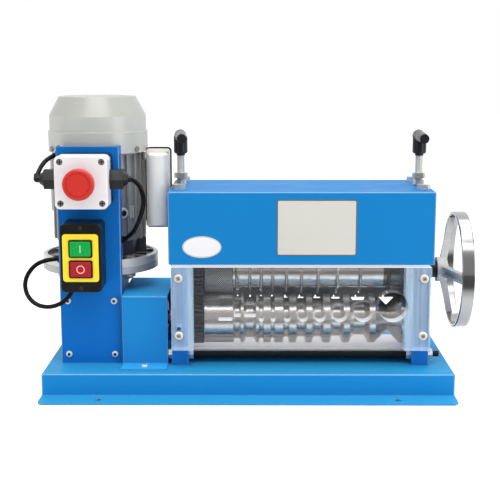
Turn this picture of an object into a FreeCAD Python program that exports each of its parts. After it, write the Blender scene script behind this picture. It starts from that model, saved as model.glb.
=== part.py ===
"""Electric wire stripping machine, millimetres.
Origin: centre of the four base bolt holes, on the underside of the base.
+X runs from the motor side to the hand wheel side, +Y away from the operator, +Z up.
"""
import FreeCAD, Part
import math
import os

V = FreeCAD.Vector
X_DIR = V(1, 0, 0)
Y_DIR = V(0, 1, 0)
Z_DIR = V(0, 0, 1)

# fits and clearances
run_gap = 0.05            # radial, a shaft that turns in its bore
slide_gap = 0.1           # each side, a block that slides in its window
free_gap = 0.4            # each side, a button in its opening
seat_gap = 0.3            # between curved faces of two bodies that nearly touch
screw_gap = 0.4           # radial, a screw in its through hole

# base
base_len = 542.0
base_depth = 260.0
base_high = 31.0
base_sheet = 2.0
flange_wide = 35.0
flange_corner_r = 8.0
fold_r = 2.5
bolt_inset = 77.0
bolt_outset = 18.0
bolt_hole_r = 4.5

# side plates and the frame they make
frame_x0 = -102.5
frame_len = 344.0
plate_thick = 22.0
plate_front_y = -87.0
plate_depth = 118.0
plate_top_z = 266.0

# rollers, shafts and gears
roller_y = -32.0
lower_axis_z = 84.0
gear_module = 2.0
gear_teeth = 34
gear_wide = 15.5
gear_x0 = -77.0
gear_backlash = 0.3
gear_flank_steps = 3
pressure_deg = 20.0
gear_root = 1.25           # depth of the tooth below the pitch circle, in modules
shaft_r = 10.0
bush_wall = 4.0
roller_r = 35.0
roller_x0 = -59.7
roller_x1 = 217.0
drum_r = 32.0
drum_x1 = -21.5
drum_chamfer = 1.0
blade_r = 33.0
blade_thick = 3.8
blade_bevel = 2.6
blade_edge = 0.5
spacer_r = 25.0
spacer_chamfer = 0.5
end_spacer_share = 0.7     # of the room past the last blade
upper_shaft_x0 = -101.5
roller_tail_x = -131.0
roller_head_x = 240.5

# one station per feed hole of the grooved row: x, groove mouth, groove floor radius
stations = [
    (-15.5, 10.3, 29.4),
    (2.0, 17.1, 28.0),
    (17.5, 6.5, 29.1),
    (33.0, 5.3, 28.6),
    (51.5, 8.4, 27.1),
    (72.0, 13.8, 26.6),
    (94.5, 15.1, 26.6),
    (120.5, 18.1, 25.8),
    (151.5, 27.0, 23.9),
    (190.5, 35.1, 18.3),
]
groove_floor_share = 0.55
deep_groove_floor = 1.0
# the round feed holes, one for each station from the third on, and the three slots
hole_r = [3.65, 3.7, 4.8, 7.3, 8.7, 10.9, 13.6, 19.9]
hole_bottom_z = 95.5
slot_a = (-39.5, -20.7, 97.0, 127.0)
slot_b = (-18.5, -9.5, 102.3, 125.0)
slot_c = (-5.5, 10.3, 102.0, 118.0)
slot_corner_r = 1.5

# feed panel
panel_thick = 20.0
panel_inset = 1.0
panel_z0 = 56.4
panel_z1 = 168.5
panel_corner_r = 1.5
panel_screw_low_z = 77.0
panel_screw_high_z = 154.0
panel_screw_r = 3.0
panel_screw_head_r = 5.6
panel_screw_head = 3.6
panel_screw_round = 0.6    # share of the head that is rounded
panel_screw_long = 34.0
panel_slot_long = 8.5
cross_wide = 1.6
cross_long = 6.0
cross_deep = 1.8

# hood
hood_sheet = 2.0
hood_front_y = plate_front_y - panel_thick
hood_back_gap = 2.0
hood_z0 = 172.0
hood_fold_r = 2.5
hood_bolt_front = 10.0
hood_bolt_back = 12.0
hood_bolt_across = 16.0
hood_bolt_head = 6.4
hood_bolt_r = 5.0
hood_bolt_long = 22.0

# sliding bearing blocks and adjusting screws
block_wide = 44.0
block_low = 22.0
block_high = 24.0
block_stop_gap = 0.3
lift = 3.0
window_above = 5.0         # over the block at its highest
screw_r = 5.0
screw_top_z = 314.0
nut_across = 16.0
nut_high = 7.0
nut_z0 = 278.0
low_nut_across = 14.0
low_nut_high = 6.0
low_nut_z0 = 269.3
knob_r = 9.3
knob_neck_r = 5.8
knob_neck = 2.6
knob_z0 = 308.6
knob_z1 = 334.0
knob_chamfer = 1.5
lever_long = 40.0
lever_tail = 9.0
lever_r = 8.4
lever_end_r = 6.3
lever_z = 334.5
lever_drop = 1.0
lever_turn = {"left": 5.8, "right": 1.0}

# hand wheel
wheel_r = 79.5
rim_wall = 4.5
rim_x0 = 279.4
rim_wide = 17.0
rim_edge_r = 1.6
hub_x0 = 257.8
hub_long = 14.0
hub_r = 17.0
wheel_shaft_r = 8.0
wheel_shaft_x1 = 274.0
spoke_wide = 13.0
spoke_hub_thick = 10.0
spoke_rim_thick = 8.0
spoke_rib = 2.5
collar_x0 = 246.0
collar_r = 11.5

# tie rods
tie_r = 4.0
tie_front_y = -75.0
tie_back_y = 19.0
tie_z = 44.0
tie_high_z = 205.0
tie_over = 15.5
tie_nut_across = 13.0
tie_nut_high = 6.5
sleeve_r = 5.4

# discharge tray and wire comb
tray_sheet = 1.5
tray_front_y = -66.0
tray_lip_z = 50.5
tray_floor_front_z = 41.0
tray_back_y = 62.0
tray_foot = 10.0
comb_y = 6.5
comb_thick = 2.0
comb_z0 = 104.0
comb_z1 = 190.0
comb_slot_wide = 1.6
comb_slot_deep = 3.0
comb_fold = 12.0

# motor, axis upright
worm_offset = 38.0
motor_flange_r = 80.0
gear_flange_z0 = 150.0
gear_flange_thick = 8.7
flange_thick = 11.7
flange_rim = 6.0
flange_recess = 5.0
flange_ribs = 8
flange_rib_thick = 4.0
flange_rib_down = 1.5
flange_bolt_pcr = 65.0
flange_bolt_r = 4.5
flange_bolt_over = 6.0
flange_bolt_count = 4
flange_bolt_deg = 45.0
bell_top_z = 192.0
bell_r = 50.0
bell_top_r = 54.0
gusset_count = 3
body_r = 59.5
body_wall = 11.0
fin_deep = 4.5
fin_sunk = 2.0
fin_thick = 2.5
fin_count = 28
seam_chamfer = 0.8
fin_short = 13.0
body_top_z = 322.0
cowl_over = 10.0
cowl_step_up = 18.0
cowl_shoulder_up = 3.0
cowl_cone_high = 25.4
cowl_past_fins = 4.1
cowl_step_in = 1.9
cowl_step_slope = 1.5
cowl_cone_in = 13.7
cowl_sheet = 1.4
vent_r = 2.4
vent_ring_r = (14.0, 25.0, 36.0, 46.0)
vent_pitch = 10.0
cowl_screw_down = 5.0
cowl_screw_head_r = 3.6
cowl_screw_head = 3.0
cowl_screw_r = 2.0
cowl_screw_long = 9.0
cowl_screw_seat = 0.2
cowl_screw_deg = (-146.0, -34.0, 34.0, 146.0)
lug_wide = 12.0
lug_high = 9.0
motor_shaft_r = 7.0
rotor_r = 38.0
rotor_up = 23.0
rotor_down = 32.0
shaft_low_z = 42.0
fan_up = 4.0
fan_disc = 2.0
fan_high = 20.0
fan_room = 12.0
fan_hub_r = 12.0
fan_blades = 8
fan_blade_thick = 2.0

# terminal box at the back of the motor, capacitor at its side
term_wide = 84.0
term_turn = 26.0          # about the motor axis
term_deep = 32.0
term_over_flange = 45.6
term_down = 22.0
term_wall = 2.5
term_corner_r = 5.0
term_pad_out = 3.0         # from the fins to the flat that the box stands on
term_pad_half = 32.0
cap_past_fins = 2.0
cap_hood_gap = 2.0
cap_wide = 35.5
cap_y0 = -6.0
cap_y1 = 4.0
cap_high = 111.0
cap_down = 5.0
cap_plate = 3.0
cap_corner_r = 5.5
cap_dome_r = 14.3
cap_dome_out = 8.0
cap_dome_edge_r = 3.0
cap_dome_low = 4.5
cap_dome_high = 7.5
cap_flange = 1.5
pad_half = 14.0
pad_sunk = 4.0

# gearbox under the motor
box_half = 35.5
box_back = 32.0
box_top_z = 140.0
box_corner_r = 6.0
box_wall = 12.0
cavity_z0 = 52.0
cavity_z1 = 117.0
neck_r = 46.0
input_bore_r = 17.0
cover_r = 21.0
cover_thick = 2.0
worm_r = 7.5
worm_z0 = 62.0
worm_z1 = 106.0
worm_gap = 0.5
wheel_room = 2.0           # round the worm and the worm wheel in the housing
wheel_wide = 20.0
output_behind = 24.0       # past the motor axis
output_x1 = -133.0

# shaft coupling and its cover
coupling_x0 = -153.0
coupling_x1 = -112.0
coupling_r = 24.0
coupling_slit = 2.0
coupling_step_r = 21.0
cover_box_gap = 3.5
cover_x1 = -108.0
cover_front_y = -85.0
cover_back_y = 43.0
cover_top_z = 125.0
cover_sheet = 1.5
cover_foot = 27.0
cover_fold_r = 2.0

# switch column
column_left = 44.7         # from the motor axis
column_wide = 83.0
column_front_y = -77.5
column_sheet = 2.0
column_top_z = 324.0
column_return = 24.0
column_edge_r = 1.8
notch_gap = 1.0            # round the motor flange, where it passes the returns
panel_m6_dx = 62.0
panel_m6_z = (43.5, 117.0)
m6_r = 3.0
m6_head_r = 4.4
m6_head = 2.8
m6_round = 0.8             # share of the head that is rounded
m6_long = 14.0
socket_r = 2.0
socket_deep = 1.6

# emergency stop
stop_in = 40.9             # from the left edge of the column
stop_z = 282.2
stop_size = 68.0
stop_cover_deep = 29.0
stop_base_deep = 25.0
stop_corner_r = 7.0
stop_wall = 2.5
stop_edge_r = 2.0
stop_screw_off = 26.5
stop_screw_r = 4.0
stop_screw_head = 1.6
stop_screw_recess = 0.4
stop_post_r = 5.6
plunger_r = 11.0
plunger_nose_r = 8.0
plunger_back_y = -92.0
head_r = 20.0
head_front_y = -156.5
head_thick = 10.0
head_neck = 7.0
head_neck_r = 15.5
head_edge_r = 3.2
head_ring_r = 15.2
head_ring_deep = 0.8
head_ring_wide = 1.2

# start and stop switch
switch_in = 36.2           # from the left edge of the column
switch_z = 182.7
switch_wide = 53.0
switch_high = 90.0
switch_deep = 42.0
switch_corner_r = 6.0
switch_wall = 2.5
switch_edge_r = 1.2
plate_wide = 46.6
plate_high = 62.6
plate_thin = 0.8
plate_corner_r = 4.0
plate_up = 1.2
button_wide = 27.0
button_high = 19.6
button_deep = 14.0
button_proud = 3.4
button_corner_r = 2.0
button_edge_r = 0.8
start_z = 195.4
halt_z = 168.6
bezel_wide = 30.6
bezel_high = 23.2
bezel_out = 2.4
bezel_corner_r = 2.5
switch_screw_off = 39.6
switch_screw_r = 2.6
switch_screw_head = 1.4
switch_screw_recess = 0.6

# glands, grommets and cables
gland_across = 25.0
gland_nut = 17.0
gland_dome = 6.0
gland_dome_r = 10.5
gland_tip_r = 6.5
gland_neck_wall = 1.2
mains_bore_r = 4.0
spigot = 4.0
gland_y = -104.0
gland_z = 284.2
elbow_r = 4.6
cable_r = 3.0
cable_joint = 0.45
grommet_r = 5.0
grommet_lip = 1.2
grommet_long = 5.0
grommet_place = 0.6       # share of the depth of the returns
switch_grommet_place = 0.33
left_entry_z = 312.0
right_entry_z = 198.0
switch_entry_z = 173.0

# corners of the held cables: x out from the edge of the column they enter, y, z
cable_switch_out = -21.7
cable_switch_y = -100.0
cable_left_corners = [(19.9, -101.0, 289.6), (17.3, -90.5, 299.0), (10.8, -77.0, 308.0)]
cable_right_corners = [
    (18.7, -104.0, 284.2), (28.3, -102.6, 278.7), (33.8, -99.8, 262.4), (32.9, -94.4, 246.1),
    (25.8, -86.1, 225.8), (15.5, -71.8, 206.4),
]
cable_switch_corners = [
    (-14.2, -103.0, 124.0), (5.3, -101.5, 113.5), (27.3, -94.9, 114.0), (42.8, -87.2, 126.5),
    (46.3, -80.0, 146.0), (34.8, -75.2, 164.5), (17.8, -71.6, 172.2),
]

# places that follow from the sizes above
bolt_dx = base_len - 2 * bolt_inset
bolt_dy = base_depth + 2 * bolt_outset
fin_r = body_r + fin_deep
hood_x0 = frame_x0 - hood_sheet
hood_x1 = frame_x0 + frame_len + hood_sheet
motor_x = hood_x0 - cap_hood_gap - cap_wide - cap_past_fins - fin_r
motor_y = roller_y + worm_offset
term_pad_y = motor_y + fin_r + term_pad_out
fin_z1 = body_top_z - fin_short
cowl_low_r = fin_r + cowl_past_fins
cowl_high_r = cowl_low_r - cowl_step_in
cowl_top_r = cowl_high_r - cowl_cone_in
fan_r = cowl_low_r - fan_room
term_z1 = body_top_z - term_down
cap_x0 = motor_x + fin_r + cap_past_fins
cap_x1 = cap_x0 + cap_wide
cap_z1 = body_top_z - cap_down
cap_z0 = cap_z1 - cap_high
cowl_z0 = body_top_z - cowl_over
cowl_step_z = body_top_z + cowl_step_up
cowl_shoulder_z = cowl_step_z + cowl_step_up + cowl_shoulder_up
cowl_top_z = cowl_shoulder_z + cowl_cone_high
cowl_screw_z = body_top_z - cowl_screw_down
lug_z0 = body_top_z - lug_high
fan_z0 = body_top_z + fan_up
shaft_top_z = fan_z0 + fan_high
base_x = base_len / 2
base_y = base_depth / 2
frame_x1 = frame_x0 + frame_len
inner_x0 = frame_x0 + plate_thick
inner_x1 = frame_x1 - plate_thick
plate_mid = {"left": frame_x0 + plate_thick / 2, "right": frame_x1 - plate_thick / 2}
plate_span = {"left": (frame_x0, inner_x0), "right": (inner_x1, frame_x1)}
plate_back_y = plate_front_y + plate_depth
pitch_r = gear_module * gear_teeth / 2
upper_axis_z = lower_axis_z + 2 * pitch_r
hood_back_y = plate_back_y + hood_back_gap + hood_sheet
hood_top_z = plate_top_z + hood_sheet
hood_bolt_y = (plate_front_y + hood_bolt_front, plate_back_y - hood_bolt_back)
bush_r = shaft_r + bush_wall
window_z0 = upper_axis_z - block_low - block_stop_gap
window_z1 = upper_axis_z + block_high + lift + window_above
column_x0 = motor_x - column_left
column_x1 = column_x0 + column_wide
column_mid = (column_x0 + column_x1) / 2
column_back_y = column_front_y + column_sheet
flange_z0 = gear_flange_z0 + gear_flange_thick
flange_z1 = flange_z0 + flange_thick
term_z0 = flange_z1 + term_over_flange
stop_x = column_x0 + stop_in
switch_x = column_x0 + switch_in
output_x0 = motor_x - output_behind
cover_x0 = motor_x + box_half + cover_box_gap
stop_base_y = column_front_y - stop_base_deep
stop_front_y = stop_base_y - stop_cover_deep
switch_front_y = column_front_y - switch_deep
corner_up_deg = 30.0
far = 10.0                # how far a cutting tool runs past a face
bite = 1.0                # how far one shape reaches into the next where the two are joined
hair = 1e-4               # how near two places count as the same


def box(x0, x1, y0, y1, z0, z1):
    return Part.makeBox(x1 - x0, y1 - y0, z1 - z0, V(x0, y0, z0))


def bar(radius, start, end):
    start = V(*start)
    way = V(*end) - start
    return Part.makeCylinder(radius, way.Length, start, way)


def tube(outer, inner, start, end):
    return bar(outer, start, end).cut(bar(inner, start, end))


def along_x(radius, x0, x1, z=lower_axis_z):
    return bar(radius, (x0, roller_y, z), (x1, roller_y, z))


def soften(shape, way, radius):
    picked = []
    for edge in shape.Edges:
        if len(edge.Vertexes) == 2:
            line = edge.Vertexes[1].Point - edge.Vertexes[0].Point
            if line.Length > 0 and abs(abs(line.dot(way)) - line.Length) < hair * line.Length:
                picked.append(edge)
    return shape.makeFillet(radius, picked)


def edges_on(shape, way, level):
    picked = []
    for edge in shape.Edges:
        if all(abs(point.Point.dot(way) - level) < hair for point in edge.Vertexes):
            picked.append(edge)
    return picked


def hexagon(across, start, end, turn=0.0):
    start = V(*start)
    way = V(*end) - start
    side = X_DIR if abs(way.dot(X_DIR)) < 0.5 * way.Length else Z_DIR
    other = way.cross(side).normalize()
    corner_r = across / 2 / math.cos(math.pi / 6)
    points = []
    for step in range(7):
        angle = math.radians(60 * step + turn)
        points.append(start + side * (corner_r * math.cos(angle)) + other * (corner_r * math.sin(angle)))
    return Part.Face(Part.makePolygon(points)).extrude(way)


def turned(profile, axis_point, axis_way):
    points = [V(*point) for point in profile]
    points.append(points[0])
    return Part.Face(Part.makePolygon(points)).revolve(axis_point, axis_way, 360)


def joined(shapes):
    shapes = list(shapes)
    first = shapes[0]
    if len(shapes) == 1:
        return first
    return first.fuse(shapes[1:]).removeSplitter()


def without(shape, tools):
    tools = list(tools)
    return shape.cut(tools) if tools else shape


def cross_recess(x, y, z):
    """The cross of a screw that faces the operator."""
    long = cross_long / 2
    wide = cross_wide / 2
    return [
        box(x - long, x + long, y - far, y + cross_deep, z - wide, z + wide),
        box(x - wide, x + wide, y - far, y + cross_deep, z - long, z + long),
    ]


def save(name, shape):
    os.makedirs("parts", exist_ok=True)
    if isinstance(shape, (list, tuple)):
        shape = Part.makeCompound(list(shape))
    if not shape.isValid():
        print("INVALID", name)
    print(name, len(shape.Solids), "solids, volume", round(shape.Volume))
    shape.exportStep("parts/" + name + ".step")


# base tray
tray = box(-base_x, base_x, -base_y, base_y, 0, base_high)
tray = soften(tray, Z_DIR, fold_r)
tray = tray.makeFillet(fold_r, edges_on(tray, Z_DIR, base_high))
hollow_x = base_x - base_sheet
hollow_y = base_y - base_sheet
tray = tray.cut(box(-hollow_x, hollow_x, -hollow_y, hollow_y, -far, base_high - base_sheet))
flanges = []
for side in (-1, 1):
    edge_y = side * (base_y + flange_wide)
    near_y = side * hollow_y
    flange = box(-base_x, base_x, min(edge_y, near_y), max(edge_y, near_y), 0, base_sheet)
    corners = []
    for edge in flange.Edges:
        level = all(abs(point.Point.y - edge_y) < hair for point in edge.Vertexes)
        if level and abs(edge.Vertexes[1].Point.z - edge.Vertexes[0].Point.z) > base_sheet / 2:
            corners.append(edge)
    flanges.append(flange.makeFillet(flange_corner_r, corners))
tray = joined([tray] + flanges)
holes = []
for side_x in (-1, 1):
    for side_y in (-1, 1):
        hole_x = side_x * bolt_dx / 2
        hole_y = side_y * bolt_dy / 2
        holes.append(bar(bolt_hole_r, (hole_x, hole_y, -far), (hole_x, hole_y, far)))
save("base_tray", without(tray, holes))

# side plates, each with the lower bush bore, the upper window and the screw thread
for side in ("left", "right"):
    x0, x1 = plate_span[side]
    mid = plate_mid[side]
    plate = box(x0, x1, plate_front_y, plate_back_y, base_high, plate_top_z)
    window = box(x0 - far, x1 + far, roller_y - block_wide / 2, roller_y + block_wide / 2,
                 window_z0, window_z1)
    tools = [window, along_x(bush_r, x0 - far, x1 + far)]
    tools.append(bar(screw_r + run_gap, (mid, roller_y, window_z1 - far), (mid, roller_y, plate_top_z + far)))
    for y in hood_bolt_y:
        tools.append(bar(hood_bolt_r, (mid, y, hood_top_z - hood_bolt_long), (mid, y, plate_top_z + far)))
    for y, z in ((tie_front_y, tie_z), (tie_back_y, tie_high_z)):
        tools.append(bar(tie_r, (x0 - far, y, z), (x1 + far, y, z)))
    for z in (panel_screw_low_z, panel_screw_high_z):
        end = hood_front_y + panel_screw_long
        tools.append(bar(panel_screw_r, (mid, plate_front_y - far, z), (mid, end, z)))
    save(side + "_side_plate", without(plate, tools))
bushes = []
for side in ("left", "right"):
    x0, x1 = plate_span[side]
    bush = along_x(bush_r, x0, x1).cut(along_x(shaft_r + run_gap, x0, x1))
    bushes.append(bush)
save("lower_bushes", bushes)

# sliding blocks with their bushes
blocks = []
bushes = []
for side in ("left", "right"):
    x0, x1 = plate_span[side]
    mid = plate_mid[side]
    half = block_wide / 2 - slide_gap
    block = box(x0, x1, roller_y - half, roller_y + half, upper_axis_z - block_low, upper_axis_z + block_high)
    block = block.cut(along_x(bush_r, x0, x1, upper_axis_z))
    block = block.cut(bar(screw_r + run_gap, (mid, roller_y, upper_axis_z + bush_r + bush_wall),
                          (mid, roller_y, upper_axis_z + block_high + far)))
    blocks.append(block)
    bushes.append(along_x(bush_r, x0, x1, upper_axis_z).cut(along_x(shaft_r + run_gap, x0, x1, upper_axis_z)))
save("bearing_blocks", blocks)
save("upper_bushes", bushes)

# hood
hood = box(hood_x0, hood_x1, hood_front_y, hood_back_y, hood_z0, hood_top_z)
hood = soften(hood, Z_DIR, hood_fold_r)
hood = hood.makeFillet(hood_fold_r, edges_on(hood, Z_DIR, hood_top_z))
hood = hood.cut(box(frame_x0, frame_x1, hood_front_y + hood_sheet, hood_back_y - hood_sheet,
                    hood_z0 - far, plate_top_z))
tools = []
for side in ("left", "right"):
    mid = plate_mid[side]
    tools.append(bar(screw_r + screw_gap, (mid, roller_y, hood_z0), (mid, roller_y, hood_top_z + far)))
    for y in hood_bolt_y:
        tools.append(bar(hood_bolt_r, (mid, y, hood_z0), (mid, y, hood_top_z + far)))
save("hood", without(hood, tools))
bolts = []
for side in ("left", "right"):
    mid = plate_mid[side]
    for y in hood_bolt_y:
        head = hexagon(hood_bolt_across, (mid, y, hood_top_z), (mid, y, hood_top_z + hood_bolt_head))
        shank = bar(hood_bolt_r, (mid, y, hood_top_z - hood_bolt_long), (mid, y, hood_top_z))
        bolts.append(joined([head, shank]))
save("hood_bolts", bolts)

# feed panel of clear plastic
panel = box(frame_x0 + panel_inset, frame_x1 - panel_inset, hood_front_y, plate_front_y, panel_z0, panel_z1)
panel = soften(panel, Y_DIR, panel_corner_r)
tools = []
for x0, x1, z0, z1 in (slot_a, slot_b, slot_c):
    slot = box(x0, x1, hood_front_y - far, plate_front_y + far, z0, z1)
    tools.append(soften(slot, Y_DIR, slot_corner_r))
for radius, station in zip(hole_r, stations[2:]):
    z = hole_bottom_z + radius
    tools.append(bar(radius, (station[0], hood_front_y - far, z), (station[0], plate_front_y + far, z)))
for side in ("left", "right"):
    mid = plate_mid[side]
    for z in (panel_screw_low_z, panel_screw_high_z):
        tools.append(bar(panel_screw_r, (mid, hood_front_y - far, z), (mid, plate_front_y + far, z)))
slot_x = plate_mid["left"]
slot_top = panel_screw_low_z + panel_slot_long
tools.append(box(slot_x - panel_screw_r, slot_x + panel_screw_r, hood_front_y - far, plate_front_y + far,
                 panel_screw_low_z, slot_top))
tools.append(bar(panel_screw_r, (slot_x, hood_front_y - far, slot_top),
                 (slot_x, plate_front_y + far, slot_top)))
save("feed_panel", without(panel, tools))
screws = []
for side in ("left", "right"):
    mid = plate_mid[side]
    for z in (panel_screw_low_z, panel_screw_high_z):
        top = hood_front_y - panel_screw_head
        head = bar(panel_screw_head_r, (mid, hood_front_y, z), (mid, top, z))
        head = head.makeFillet(panel_screw_head * panel_screw_round, edges_on(head, Y_DIR, top))
        shank = bar(panel_screw_r, (mid, hood_front_y, z), (mid, hood_front_y + panel_screw_long, z))
        screws.append(without(joined([head, shank]), cross_recess(mid, top, z)))
save("feed_panel_screws", screws)

# tie rods, their nuts and sleeves
rods = []
nuts = []
sleeves = []
for y, z in ((tie_front_y, tie_z), (tie_back_y, tie_high_z)):
    reach = tie_over if z < hood_z0 else 0.0
    rods.append(bar(tie_r, (frame_x0 - reach / 2, y, z), (frame_x1 + reach, y, z)))
    spots = [(inner_x0, 1), (inner_x1, -1)]
    if reach:
        spots += [(frame_x0, -1), (frame_x1, 1)]
    for x, way in spots:
        nut = hexagon(tie_nut_across, (x, y, z), (x + way * tie_nut_high, y, z), corner_up_deg)
        nuts.append(nut.cut(bar(tie_r, (x - way * far, y, z), (x + way * far, y, z))))
    sleeves.append(tube(sleeve_r, tie_r, (inner_x0 + tie_nut_high, y, z), (inner_x1 - tie_nut_high, y, z)))
save("tie_rods", rods)
save("tie_rod_nuts", nuts)
save("tie_rod_sleeves", sleeves)

# discharge tray: front lip, sloping floor and a foot on the base
x0 = inner_x0
x1 = inner_x1
outline = [
    (tray_front_y, tray_lip_z), (tray_front_y, tray_floor_front_z), (tray_back_y, base_high + tray_sheet),
    (tray_back_y + tray_foot, base_high + tray_sheet), (tray_back_y + tray_foot, base_high),
    (tray_back_y, base_high), (tray_front_y - tray_sheet, tray_floor_front_z - tray_sheet),
    (tray_front_y - tray_sheet, tray_lip_z),
]
points = [V(x0, y, z) for y, z in outline]
points.append(points[0])
save("discharge_tray", Part.Face(Part.makePolygon(points)).extrude(V(x1 - x0, 0, 0)))

# wire comb behind the upper shaft, folded top edge
comb = box(inner_x0, inner_x1, comb_y, comb_y + comb_thick, comb_z0, comb_z1)
comb = joined([comb, box(inner_x0, inner_x1, comb_y, comb_y + comb_fold, comb_z1 - comb_thick, comb_z1)])
tools = []
for station in stations:
    tools.append(box(station[0] - comb_slot_wide / 2, station[0] + comb_slot_wide / 2,
                     comb_y - far, comb_y + comb_thick + far, comb_z0 - far, comb_z0 + comb_slot_deep))
save("wire_comb", without(comb, tools))

# lower roller with its grooves and journals
profile = [(roller_tail_x, 0), (roller_tail_x, shaft_r), (roller_x0, shaft_r), (roller_x0, roller_r)]
for x, mouth, floor_r in stations:
    deep = floor_r == min(station[2] for station in stations)
    floor = deep_groove_floor if deep else mouth * groove_floor_share
    profile += [(x - mouth / 2, roller_r), (x - floor / 2, floor_r)]
    profile += [(x + floor / 2, floor_r), (x + mouth / 2, roller_r)]
profile += [(roller_x1, roller_r), (roller_x1, shaft_r), (roller_head_x, shaft_r), (roller_head_x, 0)]
roller = turned([(x, roller_y, lower_axis_z + r) for x, r in profile], V(0, roller_y, lower_axis_z), X_DIR)
save("lower_roller", roller)


def spur_gear(axis_z, first_tooth_deg):
    pressure = math.radians(pressure_deg)
    base_r = pitch_r * math.cos(pressure)
    tip_r = pitch_r + gear_module
    root_r = pitch_r - gear_root * gear_module
    half = math.pi / (2 * gear_teeth) - gear_backlash / (2 * pitch_r)
    flank = []
    for step in range(gear_flank_steps + 1):
        r = base_r + (tip_r - base_r) * step / gear_flank_steps
        at = math.acos(min(1.0, base_r / r))
        flank.append((r, half + math.tan(pressure) - pressure - (math.tan(at) - at)))
    outline = [(root_r, flank[0][1])] + flank
    points = []
    for tooth in range(gear_teeth):
        middle = math.radians(first_tooth_deg) + 2 * math.pi * tooth / gear_teeth
        for r, off in outline:
            points.append((r, middle - off))
        for r, off in reversed(outline):
            points.append((r, middle + off))
    ring = [V(gear_x0, roller_y + r * math.cos(a), axis_z + r * math.sin(a)) for r, a in points]
    ring.append(ring[0])
    blank = Part.Face(Part.makePolygon(ring)).extrude(V(gear_wide, 0, 0))
    return blank.cut(along_x(shaft_r, gear_x0 - far, gear_x0 + gear_wide + far, axis_z))


tooth_pitch_deg = 360.0 / gear_teeth
save("lower_gear", spur_gear(lower_axis_z, 90.0))
save("upper_gear", spur_gear(upper_axis_z, 270.0 + tooth_pitch_deg / 2))

# upper shaft with drum, blades and spacers
shaft = along_x(shaft_r, upper_shaft_x0, frame_x1, upper_axis_z)
shaft = joined([shaft, along_x(wheel_shaft_r, frame_x1, wheel_shaft_x1, upper_axis_z)])
save("upper_shaft", shaft)
drum = along_x(drum_r, roller_x0, drum_x1, upper_axis_z)
drum = drum.makeChamfer(drum_chamfer, drum.Edges[0:1] + drum.Edges[2:3])
drum = drum.cut(along_x(shaft_r, roller_x0 - far, drum_x1 + far, upper_axis_z))
save("knurled_drum", drum)


def on_shaft(profile):
    """A ring on the upper shaft, from the x and radius of its outer corners."""
    closed = [(profile[0][0], shaft_r)] + profile + [(profile[-1][0], shaft_r)]
    corners = [(x, roller_y, upper_axis_z + r) for x, r in closed]
    return turned(corners, V(0, roller_y, upper_axis_z), X_DIR)


def spacer(low, high):
    cut = spacer_chamfer
    edge_r = spacer_r - cut
    return on_shaft([(low, edge_r), (low + cut, spacer_r), (high - cut, spacer_r), (high, edge_r)])


blades = []
spacers = []
left = drum_x1
for x, mouth, floor_r in stations:
    low = x - blade_thick / 2
    high = x + blade_thick / 2
    side_r = blade_r - blade_bevel
    edge = blade_edge / 2
    blades.append(on_shaft([(low, side_r), (x - edge, blade_r), (x + edge, blade_r), (high, side_r)]))
    spacers.append(spacer(left, low))
    left = high
ends = [left, left + end_spacer_share * (roller_x1 - left), roller_x1]
for low, high in zip(ends[:-1], ends[1:]):
    spacers.append(spacer(low, high))
save("blades", blades)
save("spacers", spacers)

# hand wheel: band rim, dished ribbed spokes, hub
rim_x1 = rim_x0 + rim_wide
rim = along_x(wheel_r, rim_x0, rim_x1, upper_axis_z)
rim = rim.cut(along_x(wheel_r - rim_wall, rim_x0, rim_x1, upper_axis_z))
rim = rim.makeFillet(rim_edge_r, [e for e in rim.Edges if len(e.Vertexes) == 1])
hub_x1 = hub_x0 + hub_long
hub = along_x(hub_r, hub_x0, hub_x1, upper_axis_z)
hub = hub.makeFillet(rim_edge_r, edges_on(hub, X_DIR, hub_x1))
reach = wheel_r - rim_wall / 2
outline = [(hub_x1 - spoke_hub_thick, hub_r / 2), (hub_x1, hub_r / 2),
           (rim_x0 + bite + spoke_rim_thick, reach), (rim_x0 + bite, reach)]
spoke_z = upper_axis_z - spoke_wide / 2
points = [V(x, roller_y - r, spoke_z) for x, r in outline]
points.append(points[0])
spoke = Part.Face(Part.makePolygon(points)).extrude(V(0, 0, spoke_wide))
points = []
for index, (x, r) in enumerate(outline):
    back = spoke_rib if index in (0, len(outline) - 1) else spoke_hub_thick / 2
    points.append(V(x - back, roller_y - r, spoke_z + spoke_rib))
points.append(points[0])
groove = Part.Face(Part.makePolygon(points)).extrude(V(0, 0, spoke_wide - 2 * spoke_rib))
spoke = spoke.cut(groove)
wheel = [rim, hub]
for turn in (0, 120, 240):
    copy = spoke.copy()
    copy.rotate(V(0, roller_y, upper_axis_z), X_DIR, turn)
    wheel.append(copy)
wheel = joined(wheel).cut(along_x(wheel_shaft_r, hub_x0 - far, hub_x1 + far, upper_axis_z))
save("handwheel", wheel)
collar = along_x(collar_r, collar_x0, hub_x0, upper_axis_z)
save("wheel_collar", collar.cut(along_x(wheel_shaft_r, collar_x0 - far, hub_x0 + far, upper_axis_z)))

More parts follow.
